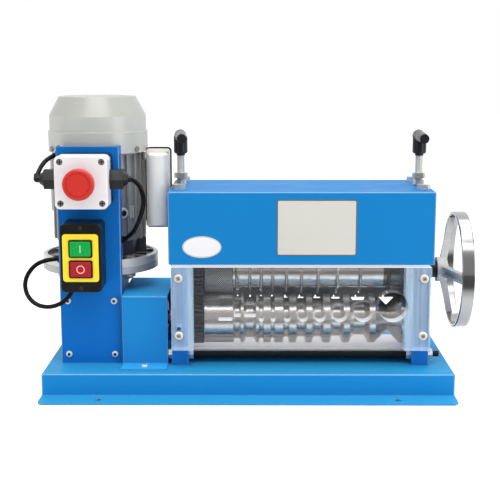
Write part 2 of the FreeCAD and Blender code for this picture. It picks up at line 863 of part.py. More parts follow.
# adjusting screws with lock nut, and their lever handles
for side in ("left", "right"):
    mid = plate_mid[side]
    low_z = upper_axis_z + bush_r + bush_wall + block_stop_gap
    spindle = bar(screw_r, (mid, roller_y, low_z), (mid, roller_y, screw_top_z))
    nut = hexagon(nut_across, (mid, roller_y, nut_z0), (mid, roller_y, nut_z0 + nut_high))
    low_nut = hexagon(low_nut_across, (mid, roller_y, low_nut_z0), (mid, roller_y, low_nut_z0 + low_nut_high),
                      corner_up_deg)
    save("adjusting_screw_" + side, [spindle, nut.cut(spindle), low_nut.cut(spindle)])
    turn = math.radians(lever_turn[side])
    shoulder_z = knob_z0 + knob_neck
    knob = bar(knob_r, (mid, roller_y, shoulder_z), (mid, roller_y, knob_z1))
    knob = knob.makeChamfer(knob_chamfer, edges_on(knob, Z_DIR, shoulder_z))
    knob = knob.fuse(bar(knob_neck_r, (mid, roller_y, knob_z0), (mid, roller_y, shoulder_z + bite)))
    start = V(mid - lever_tail * math.sin(turn), roller_y + lever_tail * math.cos(turn), lever_z)
    end = V(mid + lever_long * math.sin(turn), roller_y - lever_long * math.cos(turn), lever_z - lever_drop)
    way = end - start
    slant = lever_r / math.sqrt(2)
    outline = [Part.Arc(V(-lever_r, 0, 0), V(-slant, slant, 0), V(0, lever_r, 0))]
    corners = [V(0, lever_r, 0), V(way.Length, lever_end_r, 0), V(way.Length, 0, 0), V(-lever_r, 0, 0)]
    for near, next_point in zip(corners[:-1], corners[1:]):
        outline.append(Part.LineSegment(near, next_point))
    lever = Part.Face(Part.Wire([piece.toShape() for piece in outline])).revolve(V(0, 0, 0), X_DIR, 360)
    lever.Placement = FreeCAD.Placement(start, FreeCAD.Rotation(X_DIR, way))
    knob = joined([knob, lever])
    knob = knob.cut(bar(screw_r, (mid, roller_y, knob_z0 - far), (mid, roller_y, screw_top_z)))
    save("clamp_handle_" + side, knob)

# gearbox housing with the ring that carries the motor
bx0 = motor_x - box_half
bx1 = motor_x + box_half
by1 = motor_y + box_back
housing = soften(box(bx0, bx1, column_back_y, by1, base_high, box_top_z), Z_DIR, box_corner_r)
ring = bar(motor_flange_r, (motor_x, motor_y, gear_flange_z0), (motor_x, motor_y, flange_z0))
ring = ring.makeChamfer(seam_chamfer, edges_on(ring, Z_DIR, flange_z0))
neck = bar(neck_r, (motor_x, motor_y, box_top_z - box_corner_r), (motor_x, motor_y, gear_flange_z0))
neck = neck.common(box(motor_x - neck_r, motor_x + neck_r, column_back_y + box_corner_r, motor_y + neck_r,
                       base_high, flange_z0))
side_covers = []
for x, way in ((bx0, -1), (bx1, 1)):
    side_covers.append(along_x(cover_r, x, x + way * cover_thick))
housing = joined([housing, neck, ring] + side_covers)
wheel_r_in = worm_offset - worm_r - worm_gap
cavity = along_x(wheel_r_in + wheel_room, bx0 + box_wall, bx1 - box_wall)
worm_half = worm_r + box_wall / 2
cavity_worm = box(motor_x - worm_half, motor_x + worm_half, roller_y, motor_y + worm_r + wheel_room,
                  cavity_z0, cavity_z1)
tools = [cavity, cavity_worm]
tools.append(bar(input_bore_r, (motor_x, motor_y, cavity_z1 - bite), (motor_x, motor_y, flange_z0 + far)))
tools.append(bar(motor_shaft_r + run_gap, (motor_x, motor_y, shaft_low_z - bite),
                 (motor_x, motor_y, cavity_z0 + bite)))
tools.append(along_x(shaft_r + run_gap, output_x0 - seat_gap, bx1 + far))
for mark in range(flange_bolt_count):
    angle = math.radians(flange_bolt_deg + 360 * mark / flange_bolt_count)
    x = motor_x + flange_bolt_pcr * math.cos(angle)
    y = motor_y + flange_bolt_pcr * math.sin(angle)
    tools.append(bar(flange_bolt_r, (x, y, gear_flange_z0 - far), (x, y, flange_z0 + far)))
for dx in (-1, 1):
    for z in panel_m6_z:
        x = column_mid + dx * panel_m6_dx / 2
        tools.append(bar(m6_r, (x, column_back_y - far, z), (x, column_front_y + m6_long, z)))
save("gearbox_housing", without(housing, tools))
worm_wheel = along_x(wheel_r_in, motor_x - wheel_wide / 2, motor_x + wheel_wide / 2)
save("worm_wheel_shaft", joined([worm_wheel, along_x(shaft_r, output_x0, output_x1)]))
coupling = along_x(coupling_r, coupling_x0, coupling_x1)
coupling_mid = (coupling_x0 + coupling_x1) / 2
groove = along_x(coupling_r + far, coupling_mid - coupling_slit, coupling_mid + coupling_slit)
coupling = coupling.cut(groove.cut(along_x(coupling_step_r, coupling_x0, coupling_x1)))
save("shaft_coupling", coupling.cut(along_x(shaft_r, coupling_x0 - far, coupling_x1 + far)))

# cover over the coupling
cover = box(cover_x0, cover_x1, cover_front_y, cover_back_y, base_high, cover_top_z)
top_edges = []
for edge in edges_on(cover, Z_DIR, cover_top_z):
    if abs(edge.Vertexes[0].Point.x - edge.Vertexes[1].Point.x) > far:
        top_edges.append(edge)
cover = cover.makeFillet(cover_fold_r, top_edges)
cover = cover.cut(box(cover_x0 - far, cover_x1 + far, cover_front_y + cover_sheet, cover_back_y - cover_sheet,
                      base_high - far, cover_top_z - cover_sheet))
foot_top = base_high + cover_sheet
foot = box(cover_x0, cover_x1, cover_front_y - cover_foot, cover_front_y + cover_sheet,
           base_high, foot_top)
back_foot = box(cover_x0, cover_x1, cover_back_y - cover_sheet, cover_back_y + cover_foot / 2,
                base_high, foot_top)
cover_mid = (cover_x0 + cover_x1) / 2
foot_screw_y = cover_front_y - cover_foot / 2
cover = joined([cover, foot, back_foot])
cover = cover.cut(bar(m6_r, (cover_mid, foot_screw_y, base_high - far),
                      (cover_mid, foot_screw_y, foot_top + far)))
save("coupling_cover", cover)

# switch column: front sheet with two side returns
column = box(column_x0, column_x1, column_front_y, column_front_y + column_return, base_high, column_top_z)
front_edges = []
for edge in edges_on(column, Y_DIR, column_front_y):
    if abs(edge.Vertexes[0].Point.z - edge.Vertexes[1].Point.z) > far:
        front_edges.append(edge)
column = column.makeFillet(column_edge_r, front_edges)
column = column.cut(box(column_x0 + column_sheet, column_x1 - column_sheet, column_back_y,
                        column_front_y + column_return + far, base_high - far, column_top_z + far))
tools = []
for dx in (-1, 1):
    for z in panel_m6_z:
        x = column_mid + dx * panel_m6_dx / 2
        tools.append(bar(m6_r, (x, column_front_y - far, z), (x, column_back_y + far, z)))

# routes of the held cables, from gland or box to the grommets in the column
switch_exit = (cable_switch_out, cable_switch_y, switch_z - switch_high / 2)
held = (
    ("cable_left", -1, cable_left_corners, grommet_place, left_entry_z),
    ("cable_right", 1, cable_right_corners, grommet_place, right_entry_z),
    ("cable_switch", -1, [switch_exit] + cable_switch_corners, switch_grommet_place, switch_entry_z),
)
routes = {}
for name, way, corners, place, entry_z in held:
    edge_x = column_x0 if way < 0 else column_x1
    entry = (edge_x + way * grommet_long / 2, column_front_y + place * column_return, entry_z)
    routes[name] = [(edge_x + way * out, y, z) for out, y, z in corners] + [entry]
grommets = []
for name, way, corners, place, entry_z in held:
    end_x, end_y, end_z = routes[name][-1]
    face_x = column_x0 if way < 0 else column_x1
    back_x = face_x - way * column_sheet
    inside_x = back_x - way * grommet_long / 2
    waist_r = grommet_r - grommet_lip
    tools.append(bar(waist_r, (face_x + way * far, end_y, end_z), (face_x - way * far, end_y, end_z)))
    grommets.append(joined([
        bar(grommet_r, (end_x, end_y, end_z), (face_x, end_y, end_z)),
        bar(waist_r, (face_x, end_y, end_z), (back_x, end_y, end_z)),
        bar(grommet_r, (back_x, end_y, end_z), (inside_x, end_y, end_z)),
    ]))
notch = bar(motor_flange_r + notch_gap, (motor_x, motor_y, gear_flange_z0 - notch_gap),
            (motor_x, motor_y, flange_z1 + notch_gap))
save("switch_column", without(column, tools + [notch]))

# button head screws of the column and of the cover's foot
screws = []
for dx in (-1, 1):
    for z in panel_m6_z:
        x = column_mid + dx * panel_m6_dx / 2
        top = column_front_y - m6_head
        head = bar(m6_head_r, (x, column_front_y, z), (x, top, z))
        head = head.makeFillet(m6_head * m6_round, edges_on(head, Y_DIR, top))
        head = head.cut(hexagon(2 * socket_r, (x, top - bite, z), (x, top + socket_deep, z)))
        screws.append(joined([head, bar(m6_r, (x, column_front_y, z), (x, column_front_y + m6_long, z))]))
head = bar(m6_head_r, (cover_mid, foot_screw_y, foot_top), (cover_mid, foot_screw_y, foot_top + m6_head))
head = head.makeFillet(m6_head * m6_round, edges_on(head, Z_DIR, foot_top + m6_head))
head = head.cut(hexagon(2 * socket_r, (cover_mid, foot_screw_y, foot_top + m6_head - socket_deep),
                        (cover_mid, foot_screw_y, foot_top + m6_head + bite)))
shank = bar(m6_r, (cover_mid, foot_screw_y, base_high), (cover_mid, foot_screw_y, foot_top))
screws.append(joined([head, shank]))
save("panel_screws", screws)


def follow(points, radius):
    """A round cable along straight runs joined by arcs; prints its bend radii."""
    points = [V(*point) for point in points]
    edges = []
    radii = []
    start = points[0]
    for index in range(1, len(points) - 1):
        back = points[index] - points[index - 1]
        ahead = points[index + 1] - points[index]
        reach = cable_joint * min(back.Length, ahead.Length)
        half_turn = back.getAngle(ahead) / 2
        before = points[index] - back * (reach / back.Length)
        after = points[index] + ahead * (reach / ahead.Length)
        bend = reach / math.tan(half_turn)
        radii.append(round(bend, 1))
        bisector = (after + before) * 0.5 - points[index]
        centre_far = math.hypot(reach, bend)
        middle = points[index] + bisector * ((centre_far - bend) / bisector.Length)
        edges.append(Part.LineSegment(start, before).toShape())
        edges.append(Part.Arc(before, middle, after).toShape())
        start = after
    edges.append(Part.LineSegment(start, points[-1]).toShape())
    path = Part.Wire(edges)
    circle = Part.Wire(Part.makeCircle(radius, points[0], points[1] - points[0]))
    solid = path.makePipeShell([circle], True, False)
    length = path.Length
    print("bend radii", radii, "length", round(length, 1),
          "volume ratio", round(solid.Volume / (math.pi * radius ** 2 * length), 4))
    return solid


cables = {name: follow(points, cable_r) for name, points in routes.items()}
for name, cable in cables.items():
    save(name, cable)
save("cable_grommets", [grommet.cut(cable) for grommet, cable in zip(grommets, cables.values())])

# emergency stop: base, cover, screws, plunger and mushroom head
sx0 = stop_x - stop_size / 2
sx1 = stop_x + stop_size / 2
sz0 = stop_z - stop_size / 2
sz1 = stop_z + stop_size / 2
inside = (sx0 + stop_wall, sx1 - stop_wall)
inside_z = (sz0 + stop_wall, sz1 - stop_wall)
posts = []
for dx in (-1, 1):
    for dz in (-1, 1):
        posts.append((stop_x + dx * stop_screw_off, stop_z + dz * stop_screw_off))
lower = soften(box(sx0, sx1, stop_base_y, column_front_y, sz0, sz1), Y_DIR, stop_corner_r)
lower = lower.cut(box(*inside, stop_base_y - far, column_front_y - stop_wall, *inside_z))
legs = [bar(stop_screw_r, (x, stop_base_y, z), (x, column_front_y - bite, z)) for x, z in posts]
lower = joined([lower] + legs)
gland_bores = []
for x, way in ((sx0, -1), (sx1, 1)):
    gland_bores.append(bar(gland_tip_r, (x + way * far, gland_y, gland_z), (x - way * far, gland_y, gland_z)))
save("estop_base", without(lower, gland_bores))
upper = soften(box(sx0, sx1, stop_front_y, stop_base_y, sz0, sz1), Y_DIR, stop_corner_r)
upper = upper.makeFillet(stop_edge_r, edges_on(upper, Y_DIR, stop_front_y))
upper = upper.cut(box(*inside, stop_front_y + stop_wall, stop_base_y + far, *inside_z))
legs = [bar(stop_post_r, (x, stop_front_y + bite, z), (x, stop_base_y, z)) for x, z in posts]
upper = joined([upper] + legs)
tools = [bar(plunger_r + run_gap, (stop_x, stop_front_y - far, stop_z), (stop_x, stop_front_y + far, stop_z))]
for x, z in posts:
    tools.append(bar(stop_screw_r, (x, stop_front_y - far, z), (x, stop_front_y + stop_screw_head, z)))
save("estop_cover", without(upper, tools + gland_bores))
screws = []
for x, z in posts:
    face = stop_front_y + stop_screw_recess
    head = bar(stop_screw_r, (x, face, z), (x, stop_front_y + stop_screw_head, z))
    screws.append(without(head, cross_recess(x, face - cross_deep / 2, z)))
save("estop_screws", screws)
head_back_y = head_front_y + head_thick
plunger = bar(plunger_r, (stop_x, head_back_y + head_neck, stop_z), (stop_x, plunger_back_y, stop_z))
plunger = joined([plunger, bar(plunger_nose_r, (stop_x, head_front_y + head_thick / 2, stop_z),
                               (stop_x, plunger_back_y, stop_z))])
save("estop_plunger", plunger)
neck_y = head_back_y + head_neck - seat_gap
profile = [(0, head_front_y), (head_r, head_front_y), (head_r, head_back_y)]
profile += [(head_neck_r, neck_y), (0, neck_y)]
head = turned([(stop_x + r, y, stop_z) for r, y in profile], V(stop_x, 0, stop_z), Y_DIR)
head = head.makeFillet(head_edge_r, edges_on(head, Y_DIR, head_front_y))
ring_cut = tube(head_ring_r, head_ring_r - head_ring_wide, (stop_x, head_front_y - far, stop_z),
                (stop_x, head_front_y + head_ring_deep, stop_z))
head = head.cut(ring_cut)
nose_y = head_front_y + head_thick / 2 - seat_gap
save("estop_mushroom", head.cut(bar(plunger_nose_r + run_gap, (stop_x, nose_y, stop_z),
                                    (stop_x, neck_y + far, stop_z))))

# switch box with bezels, plate, buttons and screws
wx0 = switch_x - switch_wide / 2
wx1 = switch_x + switch_wide / 2
wz0 = switch_z - switch_high / 2
wz1 = switch_z + switch_high / 2
shell = soften(box(wx0, wx1, switch_front_y, column_front_y, wz0, wz1), Y_DIR, switch_corner_r)
shell = shell.makeFillet(switch_edge_r, edges_on(shell, Y_DIR, switch_front_y))
shell = shell.cut(box(wx0 + switch_wall, wx1 - switch_wall,
                      switch_front_y + switch_wall, column_front_y - switch_wall,
                      wz0 + switch_wall, wz1 - switch_wall))


def rect_y(x, z, wide, high, y0, y1, corner):
    shape = box(x - wide / 2, x + wide / 2, y0, y1, z - high / 2, z + high / 2)
    return soften(shape, Y_DIR, corner)


bezels = []
tools = []
plate_cuts = []
for z in (start_z, halt_z):
    bezels.append(rect_y(switch_x, z, bezel_wide, bezel_high,
                         switch_front_y - bezel_out, switch_front_y + bite, bezel_corner_r))
    tools.append(rect_y(switch_x, z, button_wide + 2 * free_gap, button_high + 2 * free_gap,
                        switch_front_y - bezel_out - far, switch_front_y + far, button_corner_r))
    plate_cuts.append(rect_y(switch_x, z, bezel_wide + free_gap, bezel_high + free_gap, switch_front_y - far,
                             switch_front_y + far, bezel_corner_r))
shell = joined([shell] + bezels)
screws = []
for dz in (-1, 1):
    z = switch_z + dz * switch_screw_off
    face = switch_front_y + switch_screw_recess
    end = (switch_x, switch_front_y + switch_screw_head, z)
    tools.append(bar(switch_screw_r, (switch_x, switch_front_y - far, z), end))
    screws.append(bar(switch_screw_r, (switch_x, face, z), end))
save("switch_box", without(shell, tools + [cables["cable_switch"]]))
save("switch_screws", screws)
plate = rect_y(switch_x, (start_z + halt_z) / 2 + plate_up, plate_wide, plate_high,
               switch_front_y - plate_thin, switch_front_y, plate_corner_r)
save("switch_plate", without(plate, plate_cuts))
for name, z in (("start_button", start_z), ("stop_button", halt_z)):
    face = switch_front_y - button_proud
    button = rect_y(switch_x, z, button_wide, button_high, face, face + button_deep,
                    button_corner_r - free_gap)
    save(name, button.makeFillet(button_edge_r, edges_on(button, Y_DIR, face)))


def gland(x, y, z, way):
    """Hexagon body and domed nut of a cable gland, growing along way."""
    way = V(*way)
    here = V(x, y, z)
    body_end = here + way * gland_nut
    tip = body_end + way * gland_dome
    body = hexagon(gland_across, tuple(here), tuple(body_end), corner_up_deg)
    dome = Part.makeCone(gland_dome_r, gland_tip_r, gland_dome, body_end, way)
    inner = bar(gland_tip_r, tuple(here - way * spigot), tuple(here))
    return joined([body, dome, inner]), tip


right_gland, right_tip = gland(sx1, gland_y, gland_z, (1, 0, 0))
term_y0 = term_pad_y
term_y1 = term_pad_y + term_deep
term_mid_y = (term_y0 + term_y1) / 2
mains_gland, mains_tip = gland(motor_x, term_mid_y, term_z0, (0, 0, -1))
neck_end = V(*routes["cable_right"][0])
right_gland = joined([right_gland,
                      bar(cable_r + gland_neck_wall, tuple(right_tip - X_DIR * 2 * bite), tuple(neck_end))])
mains_gland = mains_gland.cut(bar(mains_bore_r, (motor_x, term_mid_y, term_z0 + far),
                                  tuple(mains_tip - Z_DIR * far)))
mains_gland.rotate(V(motor_x, motor_y, 0), Z_DIR, term_turn)
save("cable_glands", [right_gland.cut(cables["cable_right"]), mains_gland])
left_gland, left_tip = gland(sx0, gland_y, gland_z, (-1, 0, 0))
left_start = V(*routes["cable_left"][0])
elbow_mid = V(left_start.x, gland_y, gland_z)
elbow = bar(elbow_r, tuple(left_tip + X_DIR * 2 * bite), tuple(elbow_mid))
elbow = elbow.fuse([Part.makeSphere(elbow_r, elbow_mid), bar(elbow_r, tuple(elbow_mid), tuple(left_start))])
save("elbow_gland", joined([left_gland, elbow]).cut(cables["cable_left"]))

# motor end shield with its round flange
shield = bar(motor_flange_r, (motor_x, motor_y, flange_z0), (motor_x, motor_y, flange_z1))
rims = edges_on(shield, Z_DIR, flange_z0) + edges_on(shield, Z_DIR, flange_z1)
shield = shield.makeChamfer(seam_chamfer, rims)
recess_z = flange_z1 - flange_recess
shield = shield.cut(bar(motor_flange_r - flange_rim, (motor_x, motor_y, recess_z),
                        (motor_x, motor_y, flange_z1 + far)))
rib_z0 = flange_z0 + bite
bell = Part.makeCone(bell_r, bell_top_r, bell_top_z - rib_z0, V(motor_x, motor_y, rib_z0), Z_DIR)
ribs = []
for mark in range(flange_ribs):
    rib = box(motor_x, motor_x + motor_flange_r - flange_rim / 2, motor_y - flange_rib_thick / 2,
              motor_y + flange_rib_thick / 2, rib_z0, flange_z1 - flange_rib_down)
    rib.rotate(V(motor_x, motor_y, 0), Z_DIR, 360.0 * (mark + 0.5) / flange_ribs)
    ribs.append(rib)
for mark in range(gusset_count):
    rib = box(motor_x, motor_x + fin_r, motor_y - flange_rib_thick / 2, motor_y + flange_rib_thick / 2,
              rib_z0, bell_top_z)
    rib.rotate(V(motor_x, motor_y, 0), Z_DIR, 360.0 * mark / gusset_count)
    ribs.append(rib)
shield = joined([shield, bell] + ribs)
hollow = bar(body_r - body_wall, (motor_x, motor_y, flange_z1), (motor_x, motor_y, bell_top_z + far))
bore = bar(motor_shaft_r + run_gap, (motor_x, motor_y, flange_z0 - far), (motor_x, motor_y, bell_top_z))
tools = [hollow, bore]
bolts = []
for mark in range(flange_bolt_count):
    angle = math.radians(flange_bolt_deg + 360 * mark / flange_bolt_count)
    x = motor_x + flange_bolt_pcr * math.cos(angle)
    y = motor_y + flange_bolt_pcr * math.sin(angle)
    tools.append(bar(flange_bolt_r, (x, y, flange_z0 - far), (x, y, flange_z1 + far)))
    shank = bar(flange_bolt_r, (x, y, gear_flange_z0 - flange_bolt_over), (x, y, recess_z))
    cap = hexagon(tie_nut_across, (x, y, recess_z), (x, y, recess_z + tie_nut_high))
    nut = hexagon(tie_nut_across, (x, y, gear_flange_z0 - tie_nut_high), (x, y, gear_flange_z0))
    bolts.append(joined([shank, cap, nut]))
save("motor_flange", without(shield, tools))
save("flange_bolts", bolts)

# finned motor frame
frame = bar(body_r, (motor_x, motor_y, bell_top_z), (motor_x, motor_y, body_top_z))
fins = []
for mark in range(fin_count):
    fin = box(motor_x + body_r - fin_sunk, motor_x + fin_r, motor_y - fin_thick / 2, motor_y + fin_thick / 2,
              bell_top_z, fin_z1)
    fin.rotate(V(motor_x, motor_y, 0), Z_DIR, 360.0 * (mark + 0.5) / fin_count)
    fins.append(fin)
lugs = []
for degrees in cowl_screw_deg:
    lug = box(motor_x + body_r - fin_sunk, motor_x + cowl_low_r,
              motor_y - lug_wide / 2, motor_y + lug_wide / 2, lug_z0, body_top_z)
    lug.rotate(V(motor_x, motor_y, 0), Z_DIR, degrees)
    room = bar(cowl_low_r - cowl_sheet, (motor_x, motor_y, lug_z0), (motor_x, motor_y, body_top_z))
    lugs.append(lug.common(room))
side_pad = box(motor_x + body_r - pad_sunk, cap_x0, motor_y - pad_half, motor_y + pad_half, term_z0, term_z1)
back_pad = box(motor_x - term_pad_half, motor_x + term_pad_half, motor_y + body_r / 2, term_pad_y,
               term_z0, term_z1)
back_pad.rotate(V(motor_x, motor_y, 0), Z_DIR, term_turn)
frame = joined([frame, side_pad, back_pad] + fins + lugs)
hollow_top_z = body_top_z - body_wall
tools = [bar(body_r - body_wall, (motor_x, motor_y, bell_top_z - far), (motor_x, motor_y, hollow_top_z))]
tools.append(bar(motor_shaft_r + run_gap, (motor_x, motor_y, hollow_top_z - far),
                 (motor_x, motor_y, body_top_z + far)))
screw_tools = []
screws = []
for degrees in cowl_screw_deg:
    angle = math.radians(degrees)
    way = V(math.cos(angle), math.sin(angle), 0)
    seat = V(motor_x, motor_y, cowl_screw_z) + way * (cowl_low_r - cowl_screw_seat)
    head = bar(cowl_screw_head_r, tuple(seat), tuple(seat + way * cowl_screw_head))
    shank = bar(cowl_screw_r, tuple(seat - way * cowl_screw_long), tuple(seat))
    screw_tools.append(bar(cowl_screw_r, tuple(seat - way * cowl_screw_long), tuple(seat + way * far)))
    screw_tools.append(bar(cowl_screw_head_r, tuple(seat), tuple(seat + way * far)))
    screws.append(joined([head, shank]))
save("motor_frame", without(frame, tools + screw_tools))
save("cowl_screws", screws)

# fan cowl, sheet, with a vented top
outer = [(cowl_low_r, cowl_z0), (cowl_low_r, cowl_step_z), (cowl_high_r, cowl_step_z + cowl_step_slope),
         (cowl_high_r, cowl_shoulder_z), (cowl_top_r, cowl_top_z), (0, cowl_top_z)]
low_in_r = cowl_low_r - cowl_sheet
high_in_r = cowl_high_r - cowl_sheet
inner = [(0, cowl_top_z - cowl_sheet), (cowl_top_r - cowl_sheet / 2, cowl_top_z - cowl_sheet),
         (high_in_r, cowl_shoulder_z - cowl_sheet / 2), (high_in_r, cowl_step_z),
         (low_in_r, cowl_step_z - cowl_step_slope), (low_in_r, cowl_z0)]
cowl = turned([(motor_x + r, motor_y, z) for r, z in outer + inner], V(motor_x, motor_y, 0), Z_DIR)
vents = []
for ring_r in vent_ring_r:
    count = round(2 * math.pi * ring_r / vent_pitch)
    for mark in range(count):
        angle = 2 * math.pi * mark / count
        x = motor_x + ring_r * math.cos(angle)
        y = motor_y + ring_r * math.sin(angle)
        vents.append(bar(vent_r, (x, y, cowl_top_z - far), (x, y, cowl_top_z + far)))
save("fan_cowl", without(cowl, vents + screw_tools))

# rotor on its shaft, with the worm at the lower end, and the fan
rotor = joined([
    bar(motor_shaft_r, (motor_x, motor_y, shaft_low_z), (motor_x, motor_y, shaft_top_z)),
    bar(rotor_r, (motor_x, motor_y, bell_top_z + rotor_up), (motor_x, motor_y, body_top_z - rotor_down)),
    bar(worm_r, (motor_x, motor_y, worm_z0), (motor_x, motor_y, worm_z1)),
])
save("motor_rotor", rotor)
fan_z1 = fan_z0 + fan_high
fan = [bar(fan_hub_r, (motor_x, motor_y, fan_z0), (motor_x, motor_y, fan_z1))]
fan.append(bar(fan_r, (motor_x, motor_y, fan_z0), (motor_x, motor_y, fan_z0 + fan_disc)))
for mark in range(fan_blades):
    blade = box(motor_x + fan_hub_r - bite, motor_x + fan_r, motor_y - fan_blade_thick / 2,
                motor_y + fan_blade_thick / 2, fan_z0, fan_z1)
    blade.rotate(V(motor_x, motor_y, 0), Z_DIR, 360.0 * mark / fan_blades)
    fan.append(blade)
fan = joined(fan).cut(bar(motor_shaft_r, (motor_x, motor_y, fan_z0 - far), (motor_x, motor_y, fan_z1 + far)))
save("motor_fan", fan)

# terminal box
term = box(motor_x - term_wide / 2, motor_x + term_wide / 2, term_y0, term_y1, term_z0, term_z1)
term = soften(term, Y_DIR, term_corner_r)
half = term_wide / 2 - term_wall
term = term.cut(box(motor_x - half, motor_x + half, term_y0 + term_wall, term_y1 - term_wall,
                    term_z0 + term_wall, term_z1 - term_wall))
term = term.cut(bar(gland_tip_r, (motor_x, term_mid_y, term_z0 - far), (motor_x, term_mid_y, term_z0 + far)))
term.rotate(V(motor_x, motor_y, 0), Z_DIR, term_turn)
save("terminal_box", term)

# capacitor plate and its domed cover
cap_mid = (cap_x0 + cap_x1) / 2
plate = soften(box(cap_x0, cap_x1, cap_y0, cap_y1, cap_z0, cap_z1), Y_DIR, cap_corner_r)
room = bar(cowl_low_r + notch_gap, (motor_x, motor_y, cowl_z0 - notch_gap), (motor_x, motor_y, cowl_top_z))
save("capacitor_plate", plate.cut(room))
flange = box(cap_x0 + cap_flange, cap_x1 - cap_flange, cap_y0 - cap_plate / 2, cap_y0,
             cap_z0 + cap_flange, cap_z1 - cap_flange)
flange = soften(flange, Y_DIR, cap_corner_r - cap_flange)
dome_z0 = cap_z0 + cap_dome_low
dome_z1 = cap_z1 - cap_dome_high
dome_y = cap_y0 - cap_dome_out
dome = bar(cap_dome_r, (cap_mid, dome_y, dome_z0), (cap_mid, dome_y, dome_z1))
dome = dome.makeFillet(cap_dome_edge_r, dome.Edges)
skirt = box(cap_mid - cap_dome_r, cap_mid + cap_dome_r, dome_y, cap_y0,
            dome_z0 + cap_dome_edge_r, dome_z1 - cap_dome_edge_r)
dome = joined([dome, skirt, flange])
dome = dome.cut(box(cap_x0 - far, cap_x1 + far, cap_y0, cap_y0 + 4 * far, cap_z0 - far, cap_z1 + far))
inner_r = cap_dome_r - cap_flange
low = dome_z0 + cap_plate
high = dome_z1 - cap_plate
hollow = bar(inner_r, (cap_mid, dome_y, low), (cap_mid, dome_y, high))
hollow = hollow.fuse(box(cap_mid - inner_r, cap_mid + inner_r, dome_y, cap_y0 + far, low, high))
save("capacitor_cover", dome.cut([hollow, room]))
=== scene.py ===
import math
import bpy
import bmesh
from mathutils import Matrix, Vector


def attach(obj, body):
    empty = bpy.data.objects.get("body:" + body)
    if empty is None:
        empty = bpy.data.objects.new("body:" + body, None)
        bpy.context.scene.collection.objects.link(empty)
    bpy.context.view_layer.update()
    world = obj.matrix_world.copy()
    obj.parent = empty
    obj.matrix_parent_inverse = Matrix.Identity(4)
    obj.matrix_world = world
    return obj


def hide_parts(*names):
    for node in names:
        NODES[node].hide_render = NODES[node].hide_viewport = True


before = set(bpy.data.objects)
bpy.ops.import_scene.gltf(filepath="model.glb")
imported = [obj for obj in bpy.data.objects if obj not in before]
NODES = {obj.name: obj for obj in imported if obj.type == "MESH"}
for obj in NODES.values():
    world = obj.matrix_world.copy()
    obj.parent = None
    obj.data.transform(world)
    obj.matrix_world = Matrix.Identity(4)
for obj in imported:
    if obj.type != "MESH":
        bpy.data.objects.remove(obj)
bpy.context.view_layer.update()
MM = 0.001

# Places in the frame, in millimetres
ROLLER_Y = -32.0
UPPER_Z = 152.0
MOTOR_X = -208.0
MOTOR_Y = 6.0
HOOD_Y = -107.0
HOOD_TOP = 266.4
INSIDE_HOOD = ((-102.9, -105.4, 0), (241.9, 33.4, HOOD_TOP))
SIDE_PLATES_X = (-72.5, 206.5)
SHEET_TOP_FROM = 160.0
LAST_BLADE_X = 183.0
ROD_END_X = 249.0
SPINDLE_R = 5.3
WHEEL_RIM_R = 74.5
FLANGE_RING_R = 73.9
FLANGE_RIBS_Z = (168.2, 169.4)
STOP_BOX_X, STOP_BOX_Z, STOP_SCREWS_OFF = -211.8, 282.2, 26.5
KEY_X, KEY_FACE_Y = -216.5, -122.9
MOTOR_BOSS_Z = 231.0
FOOTPRINT_X, FOOTPRINT_Y = 268.0, 162.0
PANEL_SCREWS_X, PANEL_SCREWS_Y, PANEL_SCREWS_Z = (-91.5, 230.5), -110.55, (77.0, 154.0)
COLUMN_SCREWS_X, COLUMN_SCREWS_Y, COLUMN_SCREWS_Z = (-242.2, -180.2), -79.6, (43.5, 117.0)
COVER_FOOT_SCREW = (-138.5, -98.5, 34.7)
CAPACITOR_SCREW = (-112, -8.2, 310)
OVAL_PLACE, WIDE_PLACE = (-60.3, 195.5), (89.1, 221)


# Helpers for materials

def new_material(name):
    mat = bpy.data.materials.new(name)
    mat.use_nodes = True
    return mat, mat.node_tree, mat.node_tree.nodes["Principled BSDF"]


def link(tree, source, out, target, into):
    tree.links.new(source.outputs[out], target.inputs[into])


def add(tree, kind, **values):
    node = tree.nodes.new("ShaderNode" + kind)
    for key, value in values.items():
        setattr(node, key, value)
    return node


def calc(tree, operation, first, second=None):
    """One step of arithmetic. Each value is a socket or a number."""
    node = add(tree, "Math", operation=operation)
    for index, value in enumerate((first, second)):
        if isinstance(value, (int, float)):
            node.inputs[index].default_value = value
        elif value is not None:
            tree.links.new(value, node.inputs[index])
    return node.outputs[0]


def times(tree, first, *others):
    for other in others:
        first = calc(tree, "MULTIPLY", first, other)
    return first


def total(tree, first, *others):
    for other in others:
        first = calc(tree, "ADD", first, other)
    return first


def opposite(tree, mask):
    return calc(tree, "SUBTRACT", 1.0, mask)


def place_of(tree):
    """The X, Y and Z sockets of the place in the frame, in metres."""
    place = add(tree, "TexCoord")
    split = add(tree, "SeparateXYZ")
    link(tree, place, "Object", split, "Vector")
    return split.outputs


def facing_of(tree):
    """The X, Y and Z sockets of the direction that a face looks in."""
    faces = add(tree, "NewGeometry")
    split = add(tree, "SeparateXYZ")
    link(tree, faces, "True Normal", split, "Vector")
    return split.outputs


def from_centre(tree, socket, centre):
    return calc(tree, "SUBTRACT", socket, centre * MM)


def distance(tree, first, second):
    squares = total(tree, times(tree, first, first), times(tree, second, second))
    return calc(tree, "SQRT", squares)


def stretched(tree, stretch=(1, 1, 1)):
    """The place in the frame, squeezed along an axis to draw a pattern out along it."""
    place = add(tree, "TexCoord")
    mapping = add(tree, "Mapping")
    mapping.inputs["Scale"].default_value = stretch
    link(tree, place, "Object", mapping, "Vector")
    return mapping.outputs["Vector"]


def noise(tree, vector, scale, detail=3.0):
    node = add(tree, "TexNoise")
    node.inputs["Scale"].default_value = scale
    node.inputs["Detail"].default_value = detail
    tree.links.new(vector, node.inputs["Vector"])
    return node.outputs["Fac"]


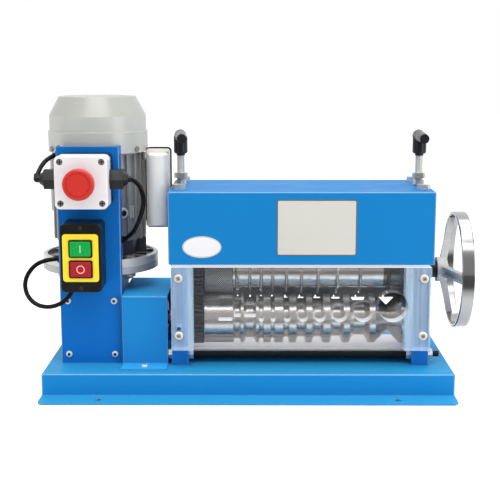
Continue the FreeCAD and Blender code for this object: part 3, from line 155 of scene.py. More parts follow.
def ramp(tree, fac, low, high, out_low, out_high):
    node = add(tree, "MapRange")
    node.inputs["From Min"].default_value = low
    node.inputs["From Max"].default_value = high
    node.inputs["To Min"].default_value = out_low
    node.inputs["To Max"].default_value = out_high
    tree.links.new(fac, node.inputs["Value"])
    return node.outputs["Result"]


def mix_colour(tree, fac, first, second):
    """Blends two colours, each a socket or three numbers."""
    node = add(tree, "Mix", data_type="RGBA")
    tree.links.new(fac, node.inputs["Factor"])
    for socket, value in ((6, first), (7, second)):
        if isinstance(value, tuple):
            node.inputs[socket].default_value = (*value, 1)
        else:
            tree.links.new(value, node.inputs[socket])
    return node.outputs[2]


def drive(tree, shader, socket, plain, source):
    """Links a socket. The plain value on it is for viewers that can't follow the nodes."""
    shader.inputs[socket].default_value = (*plain, 1) if isinstance(plain, tuple) else plain
    tree.links.new(source, shader.inputs[socket])


def steady(shader, metallic, roughness):
    shader.inputs["Metallic"].default_value = metallic
    shader.inputs["Roughness"].default_value = roughness


def bump(tree, shader, height, strength, deep, edge=0.0):
    """Fine relief, its depth in millimetres. With an edge radius, folded edges also catch the light."""
    node = add(tree, "Bump")
    if edge:
        rounded = add(tree, "Bevel", samples=4)
        rounded.inputs["Radius"].default_value = edge * MM
        link(tree, rounded, "Normal", node, "Normal")
    node.inputs["Strength"].default_value = strength
    node.inputs["Distance"].default_value = deep * MM
    tree.links.new(height, node.inputs["Height"])
    link(tree, node, "Normal", shader, "Normal")


def shade(value, factor):
    return tuple(min(1.0, part * factor) for part in value)


def sharp_edges(tree, radius):
    """More than half on sharp edges, nothing on flat or gently curved faces."""
    flat = add(tree, "NewGeometry")
    rounded = add(tree, "Bevel", samples=4)
    rounded.inputs["Radius"].default_value = radius * MM
    turn = add(tree, "VectorMath", operation="DOT_PRODUCT")
    link(tree, flat, "True Normal", turn, 0)
    link(tree, rounded, "Normal", turn, 1)
    return ramp(tree, turn.outputs["Value"], 0.75, 0.97, 0.55, 0.0)


def edge_highlight_mask(tree, radius):
    """The sharp edges and the bends of a body with square sides, nothing on its flat faces."""
    sizes = [calc(tree, "ABSOLUTE", part) for part in facing_of(tree)]
    most = calc(tree, "MAXIMUM", sizes[0], calc(tree, "MAXIMUM", sizes[1], sizes[2]))
    return calc(tree, "MAXIMUM", sharp_edges(tree, radius), ramp(tree, most, 0.84, 0.985, 0.6, 0.0))


def recolour(mat, mask, colour):
    """Lays another colour over a finished material where the mask says so."""
    tree = mat.node_tree
    socket = tree.nodes["Principled BSDF"].inputs["Base Color"]
    tree.links.new(mix_colour(tree, mask, socket.links[0].from_socket, colour), socket)


# Kinds of material

def surface(name, colour, rough, metal=0.0, vary=0.06, vary_scale=18, grain=700, grain_deep=0.05,
            coat=0.0, stretch=(1, 1, 1), rough_vary=0.08, gleam=0.5, edge=0.0):
    """A general surface: patchy colour and gloss, and a fine grain."""
    mat, tree, shader = new_material(name)
    vector = stretched(tree, stretch)
    patches = noise(tree, vector, vary_scale)
    fine = noise(tree, vector, grain, 4.0)
    blended = mix_colour(tree, patches, shade(colour, 1 - vary), shade(colour, 1 + vary))
    gloss = ramp(tree, noise(tree, vector, vary_scale * 3), 0.3, 0.7, rough - rough_vary, rough + rough_vary)
    steady(shader, metal, rough)
    drive(tree, shader, "Base Color", colour, blended)
    drive(tree, shader, "Roughness", rough, gloss)
    shader.inputs["Specular IOR Level"].default_value = gleam
    shader.inputs["Coat Weight"].default_value = coat
    shader.inputs["Coat Roughness"].default_value = 0.08
    bump(tree, shader, fine, 0.35, grain_deep, edge)
    return mat


def shade_upward_faces(mat, painted_shade):
    """Painted shade: a darker colour on the faces that tilt up."""
    tree = mat.node_tree
    recolour(mat, ramp(tree, facing_of(tree)["Z"], 0.2, 0.5, 0.0, 1.0), painted_shade)
    return mat


def moulded(name, colour, edges, rough, **more):
    """Moulded plastic whose rounded edges are a little paler, a painted highlight."""
    mat = surface(name, colour, rough, **more)
    recolour(mat, sharp_edges(mat.node_tree, 0.8), edges)
    return mat


def paint(name, colour, rough=0.4, painted_top_light=None, inside=None, bare=(0.75, 0.75, 0.75)):
    """Powder coat with a painted highlight along its edges and bends. Faces that look up may take a paler colour,
    painted light from above, and a box of the frame may stay bare.
    """
    mat = surface(name, colour, rough, vary=0.035, vary_scale=9, grain=420, grain_deep=0.12,
                  rough_vary=0.04, gleam=0.05, edge=1.4)
    tree = mat.node_tree
    # Painted highlight: edges and bends turn paler, as where they catch the light.
    recolour(mat, edge_highlight_mask(tree, 2.2), tuple(0.35 + 0.6 * part for part in colour))
    # Painted light: faces that look up turn to a paler colour, as if more brightly lit from above.
    if painted_top_light:
        recolour(mat, ramp(tree, facing_of(tree)["Z"], 0.7, 0.95, 0.0, 1.0), painted_top_light)
    if inside:
        place = place_of(tree)
        masks = []
        for axis, low, high in zip("XYZ", *inside):
            masks.append(calc(tree, "GREATER_THAN", place[axis], low * MM))
            masks.append(calc(tree, "LESS_THAN", place[axis], high * MM))
        recolour(mat, times(tree, *masks), bare)
    return mat


def turned_metal(name, colour, rough, lines=2600, darker_past=None):
    """Metal turned about X: fine rings across the axis, and much darker past a place along it."""
    mat, tree, shader = new_material(name)
    rings = noise(tree, stretched(tree, (1, 0.02, 0.02)), lines, 2.0)
    broad = noise(tree, stretched(tree), 40, 3.0)
    blended = mix_colour(tree, rings, shade(colour, 0.93), shade(colour, 1.05))
    blended = mix_colour(tree, ramp(tree, broad, 0.35, 0.75, 0.0, 0.12), blended, shade(colour, 0.7))
    if darker_past:
        past = calc(tree, "GREATER_THAN", place_of(tree)["X"], darker_past * MM)
        blended = mix_colour(tree, past, blended, shade(colour, 0.2))
    steady(shader, 0.9, rough)
    drive(tree, shader, "Base Color", colour, blended)
    drive(tree, shader, "Roughness", rough, ramp(tree, rings, 0.3, 0.7, rough * 0.85, rough * 1.15))
    bump(tree, shader, rings, 0.15, 0.02, 0.4)
    return mat


def knurl(name, colour, teeth=64, pitch=2.9):
    """A crossed knurl around the upper shaft. The pitch runs along the shaft, in millimetres."""
    mat, tree, shader = new_material(name)
    place = place_of(tree)
    angle = calc(tree, "ARCTAN2", from_centre(tree, place["Z"], UPPER_Z), from_centre(tree, place["Y"], ROLLER_Y))
    turn = times(tree, angle, float(teeth))
    along = times(tree, place["X"], 2 * math.pi / (pitch * MM))
    first = calc(tree, "SINE", total(tree, turn, along))
    second = calc(tree, "SINE", calc(tree, "SUBTRACT", turn, along))
    soft = ramp(tree, calc(tree, "MINIMUM", first, second), -1.0, 0.6, 0.0, 1.0)
    steady(shader, 0.9, 0.38)
    drive(tree, shader, "Base Color", colour, mix_colour(tree, soft, shade(colour, 0.25), shade(colour, 1.2)))
    bump(tree, shader, soft, 0.9, 0.5)
    return mat


def threaded(name, colour, pitch=1.5):
    """An upright screw with a thread on its spindle and plain flats on its nut."""
    mat, tree, shader = new_material(name)
    place = place_of(tree)
    wave = calc(tree, "SINE", times(tree, place["Z"], 2 * math.pi / (pitch * MM)))
    sideways = calc(tree, "ABSOLUTE", from_centre(tree, place["Y"], ROLLER_Y))
    spindle = calc(tree, "LESS_THAN", sideways, SPINDLE_R * MM)
    height = times(tree, ramp(tree, wave, -1, 1, 0, 1), spindle)
    steady(shader, 0.6, 0.28)
    drive(tree, shader, "Base Color", colour, mix_colour(tree, height, shade(colour, 0.55), shade(colour, 1.15)))
    bump(tree, shader, height, 0.8, 0.4)
    return mat


def clear_sheet(name):
    """Clear plastic: nearly unseen in the middle; over the side plates milky and blue, partly a frosted film and
    partly painted light for the lit plates behind; bright at its cut edges, where those that face up carry a
    painted highlight and a painted glow.
    """
    mat, tree, shader = new_material(name)
    vector = stretched(tree)
    place = place_of(tree)
    facing = facing_of(tree)
    edge = opposite(tree, calc(tree, "ABSOLUTE", facing["Y"]))
    outside = opposite(tree, add(tree, "NewGeometry").outputs["Backfacing"])
    # Painted highlight: cut edges that face up grow opaque and pale.
    painted_glow_up = times(tree, calc(tree, "MAXIMUM", facing["Z"], 0.0), outside)
    painted_glow_top = times(tree, painted_glow_up, calc(tree, "GREATER_THAN", place["Z"], SHEET_TOP_FROM * MM))
    left = calc(tree, "LESS_THAN", place["X"], SIDE_PLATES_X[0] * MM)
    right = calc(tree, "GREATER_THAN", place["X"], SIDE_PLATES_X[1] * MM)
    plates = total(tree, left, right)
    streaks = noise(tree, stretched(tree, (1, 0.05, 0.05)), 260, 3.0)
    # Painted light: over the side plates the sheet turns milky and blue, partly a frosted film and partly
    # standing in for the lit plates behind it.
    milky = times(tree, plates, ramp(tree, streaks, 0.3, 0.7, 0.28, 0.42))
    smear = ramp(tree, noise(tree, vector, 14, 4.0), 0.35, 0.75, 0.008, 0.035)
    alpha = total(tree, smear, milky, times(tree, edge, 0.22), times(tree, painted_glow_up, 0.6), times(tree, painted_glow_top, 0.2))
    tint = mix_colour(tree, plates, (0.9, 0.92, 0.94), (0.62, 0.82, 1.0))
    tint = mix_colour(tree, painted_glow_up, tint, (0.95, 0.96, 0.98))
    drive(tree, shader, "Base Color", (0.8, 0.89, 1.0), tint)
    drive(tree, shader, "Roughness", 0.08, total(tree, smear, 0.06))
    drive(tree, shader, "Alpha", 0.1, alpha)
    # Painted glow: the cut edges that face up, most of all along the sheet's highest edge, give off light though
    # they are no lamp.
    shader.inputs["Emission Color"].default_value = (0.95, 0.97, 1.0, 1)
    drive(tree, shader, "Emission Strength", 0.1, total(tree, times(tree, painted_glow_up, 0.3), times(tree, painted_glow_top, 0.35)))
    bump(tree, shader, noise(tree, vector, 60, 2.0), 0.05, 0.05)
    return mat


def crossed_screws(name, colour, rim_r=3.2, cross_r=2.7, arm_half=0.75):
    """Four screws of the stop box, each worn head with painted shade: a dark cross in its recess and a dark ring
    round its edge.
    """
    mat, tree, shader = new_material(name)
    place = place_of(tree)
    off = []
    for axis, centre in (("X", STOP_BOX_X), ("Z", STOP_BOX_Z)):
        away = calc(tree, "ABSOLUTE", from_centre(tree, place[axis], centre))
        off.append(calc(tree, "ABSOLUTE", from_centre(tree, away, STOP_SCREWS_OFF)))
    far = distance(tree, *off)
    rim = calc(tree, "GREATER_THAN", far, rim_r * MM)
    arm = calc(tree, "LESS_THAN", calc(tree, "MINIMUM", *off), arm_half * MM)
    cross = times(tree, arm, calc(tree, "LESS_THAN", far, cross_r * MM))
    worn = noise(tree, stretched(tree), 700, 3.0)
    bright = mix_colour(tree, worn, shade(colour, 0.75), shade(colour, 1.2))
    steady(shader, 0.7, 0.4)
    # Painted shade: the cross recess and the ring round each head go near black.
    blended = mix_colour(tree, calc(tree, "MAXIMUM", rim, cross), bright, (0.04, 0.038, 0.035))
    drive(tree, shader, "Base Color", colour, blended)
    bump(tree, shader, worn, 0.3, 0.05)
    return mat


def black_ended(name, colour, end_colour):
    """Rods whose right ends are black."""
    mat, tree, shader = new_material(name)
    ends = calc(tree, "GREATER_THAN", place_of(tree)["X"], ROD_END_X * MM)
    vector = stretched(tree)
    base = mix_colour(tree, ends, colour, end_colour)
    stains = ramp(tree, noise(tree, vector, 60), 0.3, 0.7, 0.0, 0.12)
    steady(shader, 0.7, 0.35)
    drive(tree, shader, "Base Color", colour, mix_colour(tree, stains, base, (0.02, 0.02, 0.02)))
    bump(tree, shader, noise(tree, vector, 600, 3.0), 0.3, 0.08)
    return mat


def flange_metal(name, machined, cast):
    """The motor's end shield: a machined ring, a dark cast bell and recess, and a band across the ribs mostly in
    the machined colour.
    """
    mat, tree, shader = new_material(name)
    place = place_of(tree)
    far = distance(tree, from_centre(tree, place["X"], MOTOR_X), from_centre(tree, place["Y"], MOTOR_Y))
    ring = calc(tree, "GREATER_THAN", far, FLANGE_RING_R * MM)
    above = calc(tree, "GREATER_THAN", place["Z"], FLANGE_RIBS_Z[0] * MM)
    below = calc(tree, "LESS_THAN", place["Z"], FLANGE_RIBS_Z[1] * MM)
    mask = calc(tree, "MAXIMUM", ring, times(tree, above, below, 0.75))
    lines = noise(tree, stretched(tree, (0.05, 0.05, 1)), 1500, 2.0)
    turned = mix_colour(tree, lines, shade(machined, 0.85), shade(machined, 1.1))
    lump = noise(tree, stretched(tree), 260, 4.0)
    rough_cast = mix_colour(tree, lump, shade(cast, 0.7), shade(cast, 1.25))
    steady(shader, 0.2, 0.34)
    drive(tree, shader, "Base Color", machined, mix_colour(tree, mask, rough_cast, turned))
    bump(tree, shader, times(tree, lump, opposite(tree, mask)), 0.4, 0.2, 0.6)
    return mat


def rim_and_spokes(name, rim, spokes):
    """A wheel whose rim is polished and whose hub and spokes are as cast."""
    mat, tree, shader = new_material(name)
    place = place_of(tree)
    far = distance(tree, from_centre(tree, place["Y"], ROLLER_Y), from_centre(tree, place["Z"], UPPER_Z))
    mask = calc(tree, "GREATER_THAN", far, WHEEL_RIM_R * MM)
    lump = noise(tree, stretched(tree), 260, 4.0)
    cast = mix_colour(tree, lump, shade(spokes, 0.7), shade(spokes, 1.25))
    lines = noise(tree, stretched(tree, (1, 0.02, 0.02)), 1800, 2.0)
    bright = mix_colour(tree, lines, shade(rim, 0.92), shade(rim, 1.05))
    drive(tree, shader, "Base Color", rim, mix_colour(tree, mask, cast, bright))
    drive(tree, shader, "Metallic", 1.0, ramp(tree, mask, 0, 1, 0.35, 1.0))
    drive(tree, shader, "Roughness", 0.16, ramp(tree, mask, 0, 1, 0.5, 0.16))
    bump(tree, shader, times(tree, lump, opposite(tree, mask)), 0.6, 0.35)
    return mat


# Materials of the machine

# Painted light: the base's faces that look up are paler, as if lit from above.
BASE_BLUE = paint("base_blue", (0.012, 0.24, 0.58), painted_top_light=(0.03, 0.33, 0.64))
HOOD_BLUE = paint("hood_blue", (0.008, 0.185, 0.475), inside=INSIDE_HOOD)
FRAME_BLUE = paint("frame_blue", (0.01, 0.16, 0.52))
COLUMN_BLUE = paint("column_blue", (0.006, 0.15, 0.51))
# Painted light: the coupling cover's faces that look up are much paler, standing in for light from above that its
# slot keeps off.
COVER_BLUE = paint("cover_blue", (0.015, 0.23, 0.56), 0.6, painted_top_light=(0.035, 0.44, 0.88))
COMB_GREY = surface("comb_grey", (0.16, 0.165, 0.17), 0.45, metal=0.3)
TRAY_GREY = surface("tray_grey", (0.76, 0.75, 0.79), 0.42, vary=0.05)
ZINC = surface("zinc_steel", (0.7, 0.69, 0.65), 0.3, metal=0.7, vary=0.12, vary_scale=120, grain=900)
ROLLER = turned_metal("tool_steel_turned", (0.72, 0.69, 0.66), 0.23)
SPACER = turned_metal("spacer_steel_turned", (0.76, 0.735, 0.71), 0.22, darker_past=LAST_BLADE_X)
BLADE = turned_metal("blade_steel", (0.8, 0.765, 0.73), 0.16, lines=900, darker_past=LAST_BLADE_X)
DRUM = knurl("tool_steel_knurled", (0.5, 0.48, 0.45))
GEAR = surface("gear_steel", (0.1, 0.1, 0.105), 0.38, metal=0.9, vary=0.2, vary_scale=60, grain=500)
BLACK_STEEL = surface("black_steel", (0.02, 0.02, 0.021), 0.33, metal=0.4, vary=0.2, grain=800)
THREAD = threaded("adjusting_thread", (0.72, 0.695, 0.64))
HANDLE = surface("handle_black", (0.012, 0.012, 0.014), 0.34, vary=0.15, grain=900, grain_deep=0.08,
                 coat=0.2, gleam=0.3)
BRONZE = turned_metal("bronze", (0.55, 0.37, 0.16), 0.35)
WHEEL = rim_and_spokes("chrome_rim", (0.44, 0.44, 0.44), (0.62, 0.6, 0.56))
BRASS = surface("brass_recess", (0.5, 0.33, 0.12), 0.4, metal=0.2, vary=0.2, vary_scale=200)
BRIGHT_SCREW = surface("bright_screw", (0.8, 0.79, 0.74), 0.32, metal=0.3, vary=0.1, vary_scale=300, grain=900)
DULL_SCREW = surface("dull_screw", (0.3, 0.295, 0.28), 0.25, metal=0.7, vary=0.3, vary_scale=300, grain=900)
DARK_SCREW = surface("dark_screw", (0.1, 0.1, 0.1), 0.3, metal=0.8, vary=0.3, vary_scale=300, grain=900)
CROSSED = crossed_screws("cross_screw", (0.42, 0.41, 0.38))
ROD = black_ended("rod_zinc_black_end", (0.6, 0.59, 0.55), (0.015, 0.015, 0.015))
CAST = surface("cast_alloy", (0.52, 0.515, 0.5), 0.45, metal=0.3, vary=0.12, vary_scale=50, grain=380,
               grain_deep=0.25, edge=0.6)
FLANGE = flange_metal("flange_alloy", (0.72, 0.7, 0.655), (0.09, 0.09, 0.095))
MOTOR = surface("motor_grey", (0.36, 0.36, 0.35), 0.3, metal=0.5, vary=0.05, vary_scale=30, grain=420,
                grain_deep=0.08, coat=0.2, edge=0.6, stretch=(1, 1, 0.05))
COWL = surface("cowl_grey", (0.51, 0.518, 0.482), 0.36, metal=0.1, vary=0.03, vary_scale=10, grain=600,
               grain_deep=0.1, coat=0.3)
# Painted shade: the cowl is darker on the faces that tilt up.
COWL = shade_upward_faces(COWL, (0.375, 0.38, 0.352))
CAP = surface("cap_silver", (0.92, 0.9, 0.85), 0.34, metal=0.05, vary=0.03, vary_scale=12, grain=700,
              coat=0.3)
CLEAR = clear_sheet("clear_plastic")
BLACK = moulded("black_plastic", (0.009, 0.009, 0.009), (0.1, 0.1, 0.1), 0.34, vary=0.15, grain=1100,
                grain_deep=0.12, gleam=0.35, edge=0.8)
BOX_WHITE = surface("estop_white", (0.76, 0.75, 0.77), 0.42, vary=0.02, grain=1100, grain_deep=0.08)
RUBBER = surface("dark_rubber", (0.008, 0.008, 0.008), 0.6, vary=0.2, grain=900, grain_deep=0.12, gleam=0.15)
SHEATH = surface("cable_black", (0.005, 0.005, 0.005), 0.28, vary=0.2, grain=900, grain_deep=0.08, gleam=0.18)
RED = surface("red_plastic", (0.56, 0.022, 0.013), 0.34, vary=0.04, grain=1200, grain_deep=0.04)
KEY_RED = surface("key_red", (0.4, 0.01, 0.016), 0.28, vary=0.05, grain=1200, grain_deep=0.04)
KEY_GREEN = surface("key_green", (0.0, 0.36, 0.055), 0.28, vary=0.05, grain=1200, grain_deep=0.04)
YELLOW = surface("yellow_plate", (0.93, 0.7, 0.025), 0.35, vary=0.03, grain=900, grain_deep=0.04)
LABEL = surface("blank_plate", (0.56, 0.556, 0.505), 0.45, vary=0.02, grain=900, grain_deep=0.03, gleam=0.2)
LABEL_EDGE = surface("plate_edge", (0.12, 0.12, 0.12), 0.4, vary=0.05)
START_MARK = surface("start_mark_pale", (0.42, 0.75, 0.46), 0.4, vary=0.02)
STOP_MARK = surface("stop_mark_pale", (0.8, 0.52, 0.5), 0.4, vary=0.02)

DRESS = {
    "base_tray": BASE_BLUE, "left_side_plate": FRAME_BLUE, "right_side_plate": FRAME_BLUE,
    "lower_bushes": BRONZE, "bearing_blocks": BLACK_STEEL, "upper_bushes": BRONZE, "hood": HOOD_BLUE,
    "hood_bolts": ZINC, "feed_panel": CLEAR, "feed_panel_screws": BRIGHT_SCREW, "tie_rods": ROD,
    "tie_rod_nuts": ZINC, "tie_rod_sleeves": RUBBER, "discharge_tray": TRAY_GREY, "wire_comb": COMB_GREY,
    "lower_roller": ROLLER, "lower_gear": GEAR, "upper_gear": GEAR, "upper_shaft": ZINC,
    "knurled_drum": DRUM, "blades": BLADE, "spacers": SPACER, "handwheel": WHEEL,
    "wheel_collar": BLACK_STEEL, "adjusting_screw_left": THREAD, "adjusting_screw_right": THREAD,
    "clamp_handle_left": HANDLE, "clamp_handle_right": HANDLE, "gearbox_housing": CAST,
    "worm_wheel_shaft": BRONZE, "shaft_coupling": BLACK_STEEL, "coupling_cover": COVER_BLUE,
    "switch_column": COLUMN_BLUE, "cable_grommets": RUBBER, "panel_screws": BRIGHT_SCREW,
    "estop_base": BLACK, "estop_cover": BOX_WHITE, "estop_screws": CROSSED, "estop_plunger": BLACK,
    "estop_mushroom": RED, "switch_box": BLACK, "switch_screws": DARK_SCREW, "switch_plate": YELLOW,
    "start_button": KEY_GREEN, "stop_button": KEY_RED, "cable_glands": BLACK, "elbow_gland": BLACK,
    "motor_flange": FLANGE, "flange_bolts": ZINC, "motor_frame": MOTOR, "cowl_screws": DULL_SCREW,
    "fan_cowl": COWL, "motor_rotor": ROLLER, "motor_fan": BLACK, "terminal_box": MOTOR,
    "capacitor_plate": RUBBER, "capacitor_cover": CAP,
}
for node, mat in DRESS.items():
    data = NODES[node].data
    data.materials.clear()
    data.materials.append(mat)


# Thin plates, marks and small fasteners on the solids

def mesh_object(name, build, mat, body, bevel=0.0):
    mesh = bpy.data.meshes.new(name)
    shape = bmesh.new()
    build(shape)
    bmesh.ops.recalc_face_normals(shape, faces=shape.faces)
    shape.to_mesh(mesh)
    shape.free()
    obj = bpy.data.objects.new(name, mesh)
    bpy.context.scene.collection.objects.link(obj)
    mesh.materials.append(mat)
    if bevel:
        modifier = obj.modifiers.new("soft_edge", "BEVEL")
        modifier.width = bevel * MM
        modifier.segments = 2
        modifier.limit_method = "ANGLE"
    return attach(obj, body)


def oval(wide, high, steps=64):
    angles = [2 * math.pi * step / steps for step in range(steps)]
    return [(wide / 2 * math.cos(angle), high / 2 * math.sin(angle)) for angle in angles]


def rounded_box(wide, high, corner, steps=8):
    points = []
    for side_x, side_z, start in ((1, 1, 0), (-1, 1, 90), (-1, -1, 180), (1, -1, 270)):
        for step in range(steps + 1):
            angle = math.radians(start + 90 * step / steps)
            points.append((side_x * (wide / 2 - corner) + corner * math.cos(angle),
                           side_z * (high / 2 - corner) + corner * math.sin(angle)))
    return points


def flat_plate(name, outline, x, z, y_back, thick, mat, body, bevel=0.1):
    """A thin plate that faces the operator."""
    def build(shape):
        ring = [shape.verts.new(((x + px) * MM, y_back * MM, (z + pz) * MM)) for px, pz in outline]
        out = bmesh.ops.extrude_face_region(shape, geom=[shape.faces.new(ring)])
        moved = [part for part in out["geom"] if isinstance(part, bmesh.types.BMVert)]
        bmesh.ops.translate(shape, verts=moved, vec=(0, -thick * MM, 0))
    return mesh_object(name, build, mat, body, bevel)


def ring_plate(name, outer, inner, x, z, y_back, thick, mat, body, steps=48):
    """A flat ring that faces the operator."""
    def build(shape):
        loops = []
        for radius in (outer, inner):
            for y in (y_back, y_back - thick):
                angles = [2 * math.pi * step / steps for step in range(steps)]
                loops.append([shape.verts.new(((x + radius * math.cos(angle)) * MM, y * MM,
                                               (z + radius * math.sin(angle)) * MM)) for angle in angles])
        back_out, front_out, back_in, front_in = loops
        for a, b in ((back_out, front_out), (front_out, front_in), (front_in, back_in), (back_in, back_out)):
            for step in range(steps):
                following = (step + 1) % steps
                shape.faces.new((a[step], a[following], b[following], b[step]))
    return mesh_object(name, build, mat, body)


def disc(shape, centre, turn, segments, back_r, front_r, deep):
    """A short cone or prism on a centre in millimetres, its axis turned from Z."""
    bmesh.ops.create_cone(shape, cap_ends=True, segments=segments, radius1=back_r * MM, radius2=front_r * MM,
                          depth=deep * MM, matrix=Matrix.Translation(Vector(centre) * MM) @ turn)


UPRIGHT = Matrix.Identity(4)
TO_FRONT = Matrix.Rotation(math.pi / 2, 4, "X")
SOCKET_R, SOCKET_DEEP = 2.2, 0.5
RECESS_LONG, RECESS_WIDE = 6.4, 1.8
PLATE_THICK = 0.3

flat_plate("oval_plate_border", oval(51, 28.6), *OVAL_PLACE, HOOD_Y, PLATE_THICK, LABEL, "machine_frame")
flat_plate("oval_plate", oval(47.4, 25.2), *OVAL_PLACE, HOOD_Y - PLATE_THICK, 0.25, BOX_WHITE, "machine_frame")
flat_plate("wide_plate_border", rounded_box(104, 73.6, 3), *WIDE_PLACE, HOOD_Y, PLATE_THICK, LABEL_EDGE,
           "machine_frame")
flat_plate("wide_plate", rounded_box(101, 70.6, 2), *WIDE_PLACE, HOOD_Y - PLATE_THICK, PLATE_THICK, LABEL,
           "machine_frame")


def recess_crosses(shape):
    """A crossed recess on each screw of the clear panel."""
    arm = Matrix.Diagonal((RECESS_LONG * MM, SOCKET_DEEP * MM, RECESS_WIDE * MM, 1))
    for x in PANEL_SCREWS_X:
        for z in PANEL_SCREWS_Z:
            for degrees in (35, 125):
                turn = Matrix.Translation((x * MM, PANEL_SCREWS_Y * MM, z * MM))
                turn = turn @ Matrix.Rotation(math.radians(degrees), 4, "Y")
                bmesh.ops.create_cube(shape, size=1, matrix=turn @ arm)


# Painted shade: a black hex disc on each column screw stands in for the dark of its socket.
def column_sockets(shape):
    for x in COLUMN_SCREWS_X:
        for z in COLUMN_SCREWS_Z:
            disc(shape, (x, COLUMN_SCREWS_Y, z), TO_FRONT, 6, SOCKET_R, SOCKET_R, SOCKET_DEEP)


# Painted shade: a black hex disc on the cover's foot screw stands in for the dark of its socket.
def foot_socket(shape):
    disc(shape, COVER_FOOT_SCREW, UPRIGHT, 6, SOCKET_R, SOCKET_R, SOCKET_DEEP)


def cap_screw(shape):
    disc(shape, CAPACITOR_SCREW, TO_FRONT, 24, 2.4, 1.6, 1.6)


def boss(shape, outer, low, high):
    """A round boss that stands out of the motor frame beside the column."""
    way = Vector((0.616, -0.788, 0))
    turn = Vector((0, 0, 1)).rotation_difference(way).to_matrix().to_4x4()
    centre = Vector((MOTOR_X, MOTOR_Y, MOTOR_BOSS_Z)) + way * (low + high) / 2
    disc(shape, centre, turn, 32, outer, outer * 0.92, high - low)


def motor_pad(shape):
    """A ribbed pad of the motor frame, next to the boss."""
    near, pad_far, rib_far, rib_wide = 56.0, 59.0, 62.5, 2.2
    blocks = [(50, 14.0, pad_far)] + [(degrees, rib_wide, rib_far) for degrees in (45.5, 50, 54.5)]
    for degrees, wide, far in blocks:
        angle = math.radians(degrees)
        middle = (near + far) / 2
        centre = Vector((MOTOR_X + middle * math.sin(angle), MOTOR_Y - middle * math.cos(angle), MOTOR_BOSS_Z))
        size = Matrix.Diagonal((wide * MM, (far - near) * MM, 17 * MM, 1))
        turn = Matrix.Translation(centre * MM) @ Matrix.Rotation(angle, 4, "Z")
        bmesh.ops.create_cube(shape, size=1, matrix=turn @ size)


mesh_object("screw_recesses", recess_crosses, BRASS, "machine_frame")
mesh_object("cover_screw_socket", foot_socket, BLACK_STEEL, "machine_frame")
mesh_object("column_screw_sockets", column_sockets, BLACK_STEEL, "machine_frame")
mesh_object("motor_pad", motor_pad, CAST, "machine_frame", 0.5)
mesh_object("cover_screw", cap_screw, ZINC, "machine_frame", 0.3)
mesh_object("motor_boss", lambda shape: boss(shape, 7.5, 57.0, 64.5), CAST, "machine_frame", 0.6)
mesh_object("motor_boss_plug", lambda shape: boss(shape, 4.4, 60.0, 65.2), BLACK, "machine_frame", 0.4)
flat_plate("start_mark", rounded_box(1.3, 9.5, 0.3), KEY_X, 195.4, KEY_FACE_Y, 0.25, START_MARK, "start_key", 0)
ring_plate("stop_mark", 5.4, 4.2, KEY_X, 168.6, KEY_FACE_Y, 0.25, STOP_MARK, "stop_key")


# Cables

ROUTES = {
    "cable_left": [
        (-272.6, -101.0, 289.6), (-270.0, -90.5, 299.0), (-263.5, -77.0, 308.0), (-255.2, -63.1, 312.0),
    ],
    "cable_right": [
        (-151.0, -104.0, 284.2), (-141.4, -102.6, 278.7), (-135.9, -99.8, 262.4), (-136.8, -94.4, 246.1),
        (-143.9, -86.1, 225.8), (-154.2, -71.8, 206.4), (-167.2, -63.1, 198.0),
    ],
    "cable_switch": [
        (-231.0, -100.0, 137.7), (-238.5, -103.0, 124.0), (-258.0, -101.5, 113.5), (-280.0, -94.9, 114.0),
        (-295.5, -87.2, 126.5), (-299.0, -80.0, 146.0), (-287.5, -75.2, 164.5), (-270.5, -71.6, 172.2),
        (-255.2, -69.58, 173.0),
    ],
}
CABLE_R = 3.0
for name, points in ROUTES.items():
    curve = bpy.data.curves.new(name + "_line", "CURVE")
    curve.dimensions = "3D"
    curve.bevel_depth = CABLE_R * MM
    curve.bevel_resolution = 6
    curve.resolution_u = 16
    curve.use_fill_caps = True
    line = curve.splines.new("NURBS")
    line.points.add(len(points) - 1)
    for point, place in zip(line.points, points):
        point.co = (*[part * MM for part in place], 1)
    line.order_u = 3
    line.use_endpoint_u = True
    obj = bpy.data.objects.new(name + "_sheath", curve)
    bpy.context.scene.collection.objects.link(obj)
    curve.materials.append(SHEATH)
    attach(obj, "machine_frame")
    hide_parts(name)


# Stage, light and camera

def studio_floor(size=14, below=0.2, glow=0.35):
    """A pale floor that glows for the camera, but not under the machine, where it is painted dark as a shadow; it
    dims in front for reflections.
    """
    mat, tree, shader = new_material("studio_floor")
    path = add(tree, "LightPath")
    place = place_of(tree)
    pale = mix_colour(tree, noise(tree, stretched(tree), 30), (0.92, 0.92, 0.92), (0.94, 0.94, 0.94))
    front = ramp(tree, place["Y"], -0.2, -0.4, 0.0, 1.0)
    pale = mix_colour(tree, times(tree, front, path.outputs["Is Glossy Ray"]), pale, (0.04, 0.04, 0.04))
    wide = calc(tree, "LESS_THAN", calc(tree, "ABSOLUTE", place["X"]), FOOTPRINT_X * MM)
    deep = calc(tree, "LESS_THAN", calc(tree, "ABSOLUTE", place["Y"]), FOOTPRINT_Y * MM)
    # Painted shadow: under the machine the floor is dark grey, and it does not glow there.
    under = times(tree, wide, deep)
    shown = calc(tree, "MAXIMUM", path.outputs["Is Camera Ray"], path.outputs["Is Transmission Ray"])
    shown = times(tree, shown, opposite(tree, under))
    drive(tree, shader, "Base Color", (0.93, 0.93, 0.93), mix_colour(tree, under, pale, (0.12, 0.12, 0.12)))
    shader.inputs["Roughness"].default_value = 0.6
    shader.inputs["Emission Color"].default_value = (1, 1, 1, 1)
    drive(tree, shader, "Emission Strength", glow, times(tree, shown, glow))
    bpy.ops.mesh.primitive_plane_add(size=size, location=(0, 0, -below * MM))
    obj = bpy.context.object
    obj.name = "studio_floor"
    obj.data.materials.append(mat)


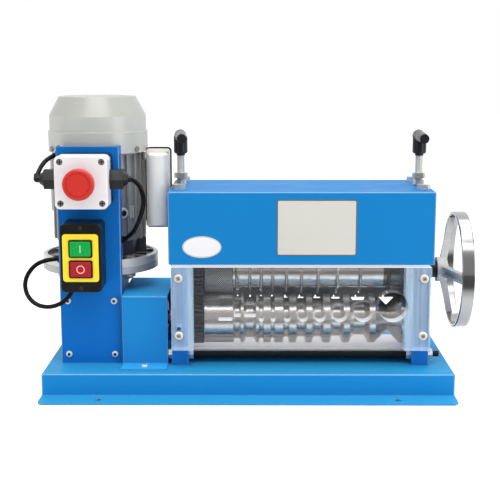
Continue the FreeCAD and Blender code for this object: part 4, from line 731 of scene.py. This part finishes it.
def studio_world(darkening=0.6):
    """White where it is seen, a little darker in front for reflections, and a soft sky for diffuse light."""
    world = bpy.data.worlds.new("studio")
    bpy.context.scene.world = world
    world.use_nodes = True
    sky = world.node_tree
    back = sky.nodes["Background"]
    back.inputs["Strength"].default_value = 1.0
    place = add(sky, "TexCoord")
    split = add(sky, "SeparateXYZ")
    link(sky, place, "Generated", split, "Vector")
    path = add(sky, "LightPath")
    rise = ramp(sky, split.outputs["Z"], 0.0, 0.7, 0.2, 0.95)
    seen = calc(sky, "MAXIMUM", path.outputs["Is Glossy Ray"], path.outputs["Is Transmission Ray"])
    seen = calc(sky, "MAXIMUM", path.outputs["Is Camera Ray"], seen)
    front = ramp(sky, split.outputs["Y"], -0.35, -0.05, 1.0, 0.0)
    below = ramp(sky, split.outputs["Z"], 0.55, 0.85, 1.0, 0.4)
    dark = times(sky, front, below, path.outputs["Is Glossy Ray"], darkening)
    level = total(sky, times(sky, seen, opposite(sky, dark)), times(sky, opposite(sky, seen), rise))
    join = add(sky, "CombineColor")
    for channel in range(3):
        sky.links.new(level, join.inputs[channel])
    sky.links.new(join.outputs[0], back.inputs["Color"])


def soft_light(name, place, target, size, power):
    data = bpy.data.lights.new(name, "AREA")
    data.shape = "RECTANGLE"
    data.size, data.size_y = size
    data.energy = power
    obj = bpy.data.objects.new(name, data)
    obj.location = place
    obj.rotation_euler = (Vector(target) - Vector(place)).to_track_quat("-Z", "Y").to_euler()
    bpy.context.scene.collection.objects.link(obj)


studio_floor()
studio_world()
soft_light("top_light", (0.1, -0.05, 1.9), (0, 0, 0.1), (2.6, 1.6), 22)
soft_light("front_light", (0, -1.15, 1.75), (0, 0, 0.15), (1.8, 0.5), 6)
soft_light("left_light", (-1.7, -1.2, 1.0), (0, 0, 0.15), (1.3, 2.0), 5)
soft_light("right_light", (1.7, -1.3, 0.9), (0, 0, 0.15), (1.2, 2.0), 16.5)

camera_data = bpy.data.cameras.new("camera")
camera_data.lens = 78.1
camera_data.sensor_width = 36.0
camera_data.clip_end = 30
camera = bpy.data.objects.new("camera", camera_data)
camera.location = (0.00896, -1.49744, 0.43999)
camera.rotation_euler = (math.radians(79.88), 0, math.radians(0.27))
bpy.context.scene.collection.objects.link(camera)
scene = bpy.context.scene
scene.camera = camera
scene.view_settings.view_transform = "Standard"
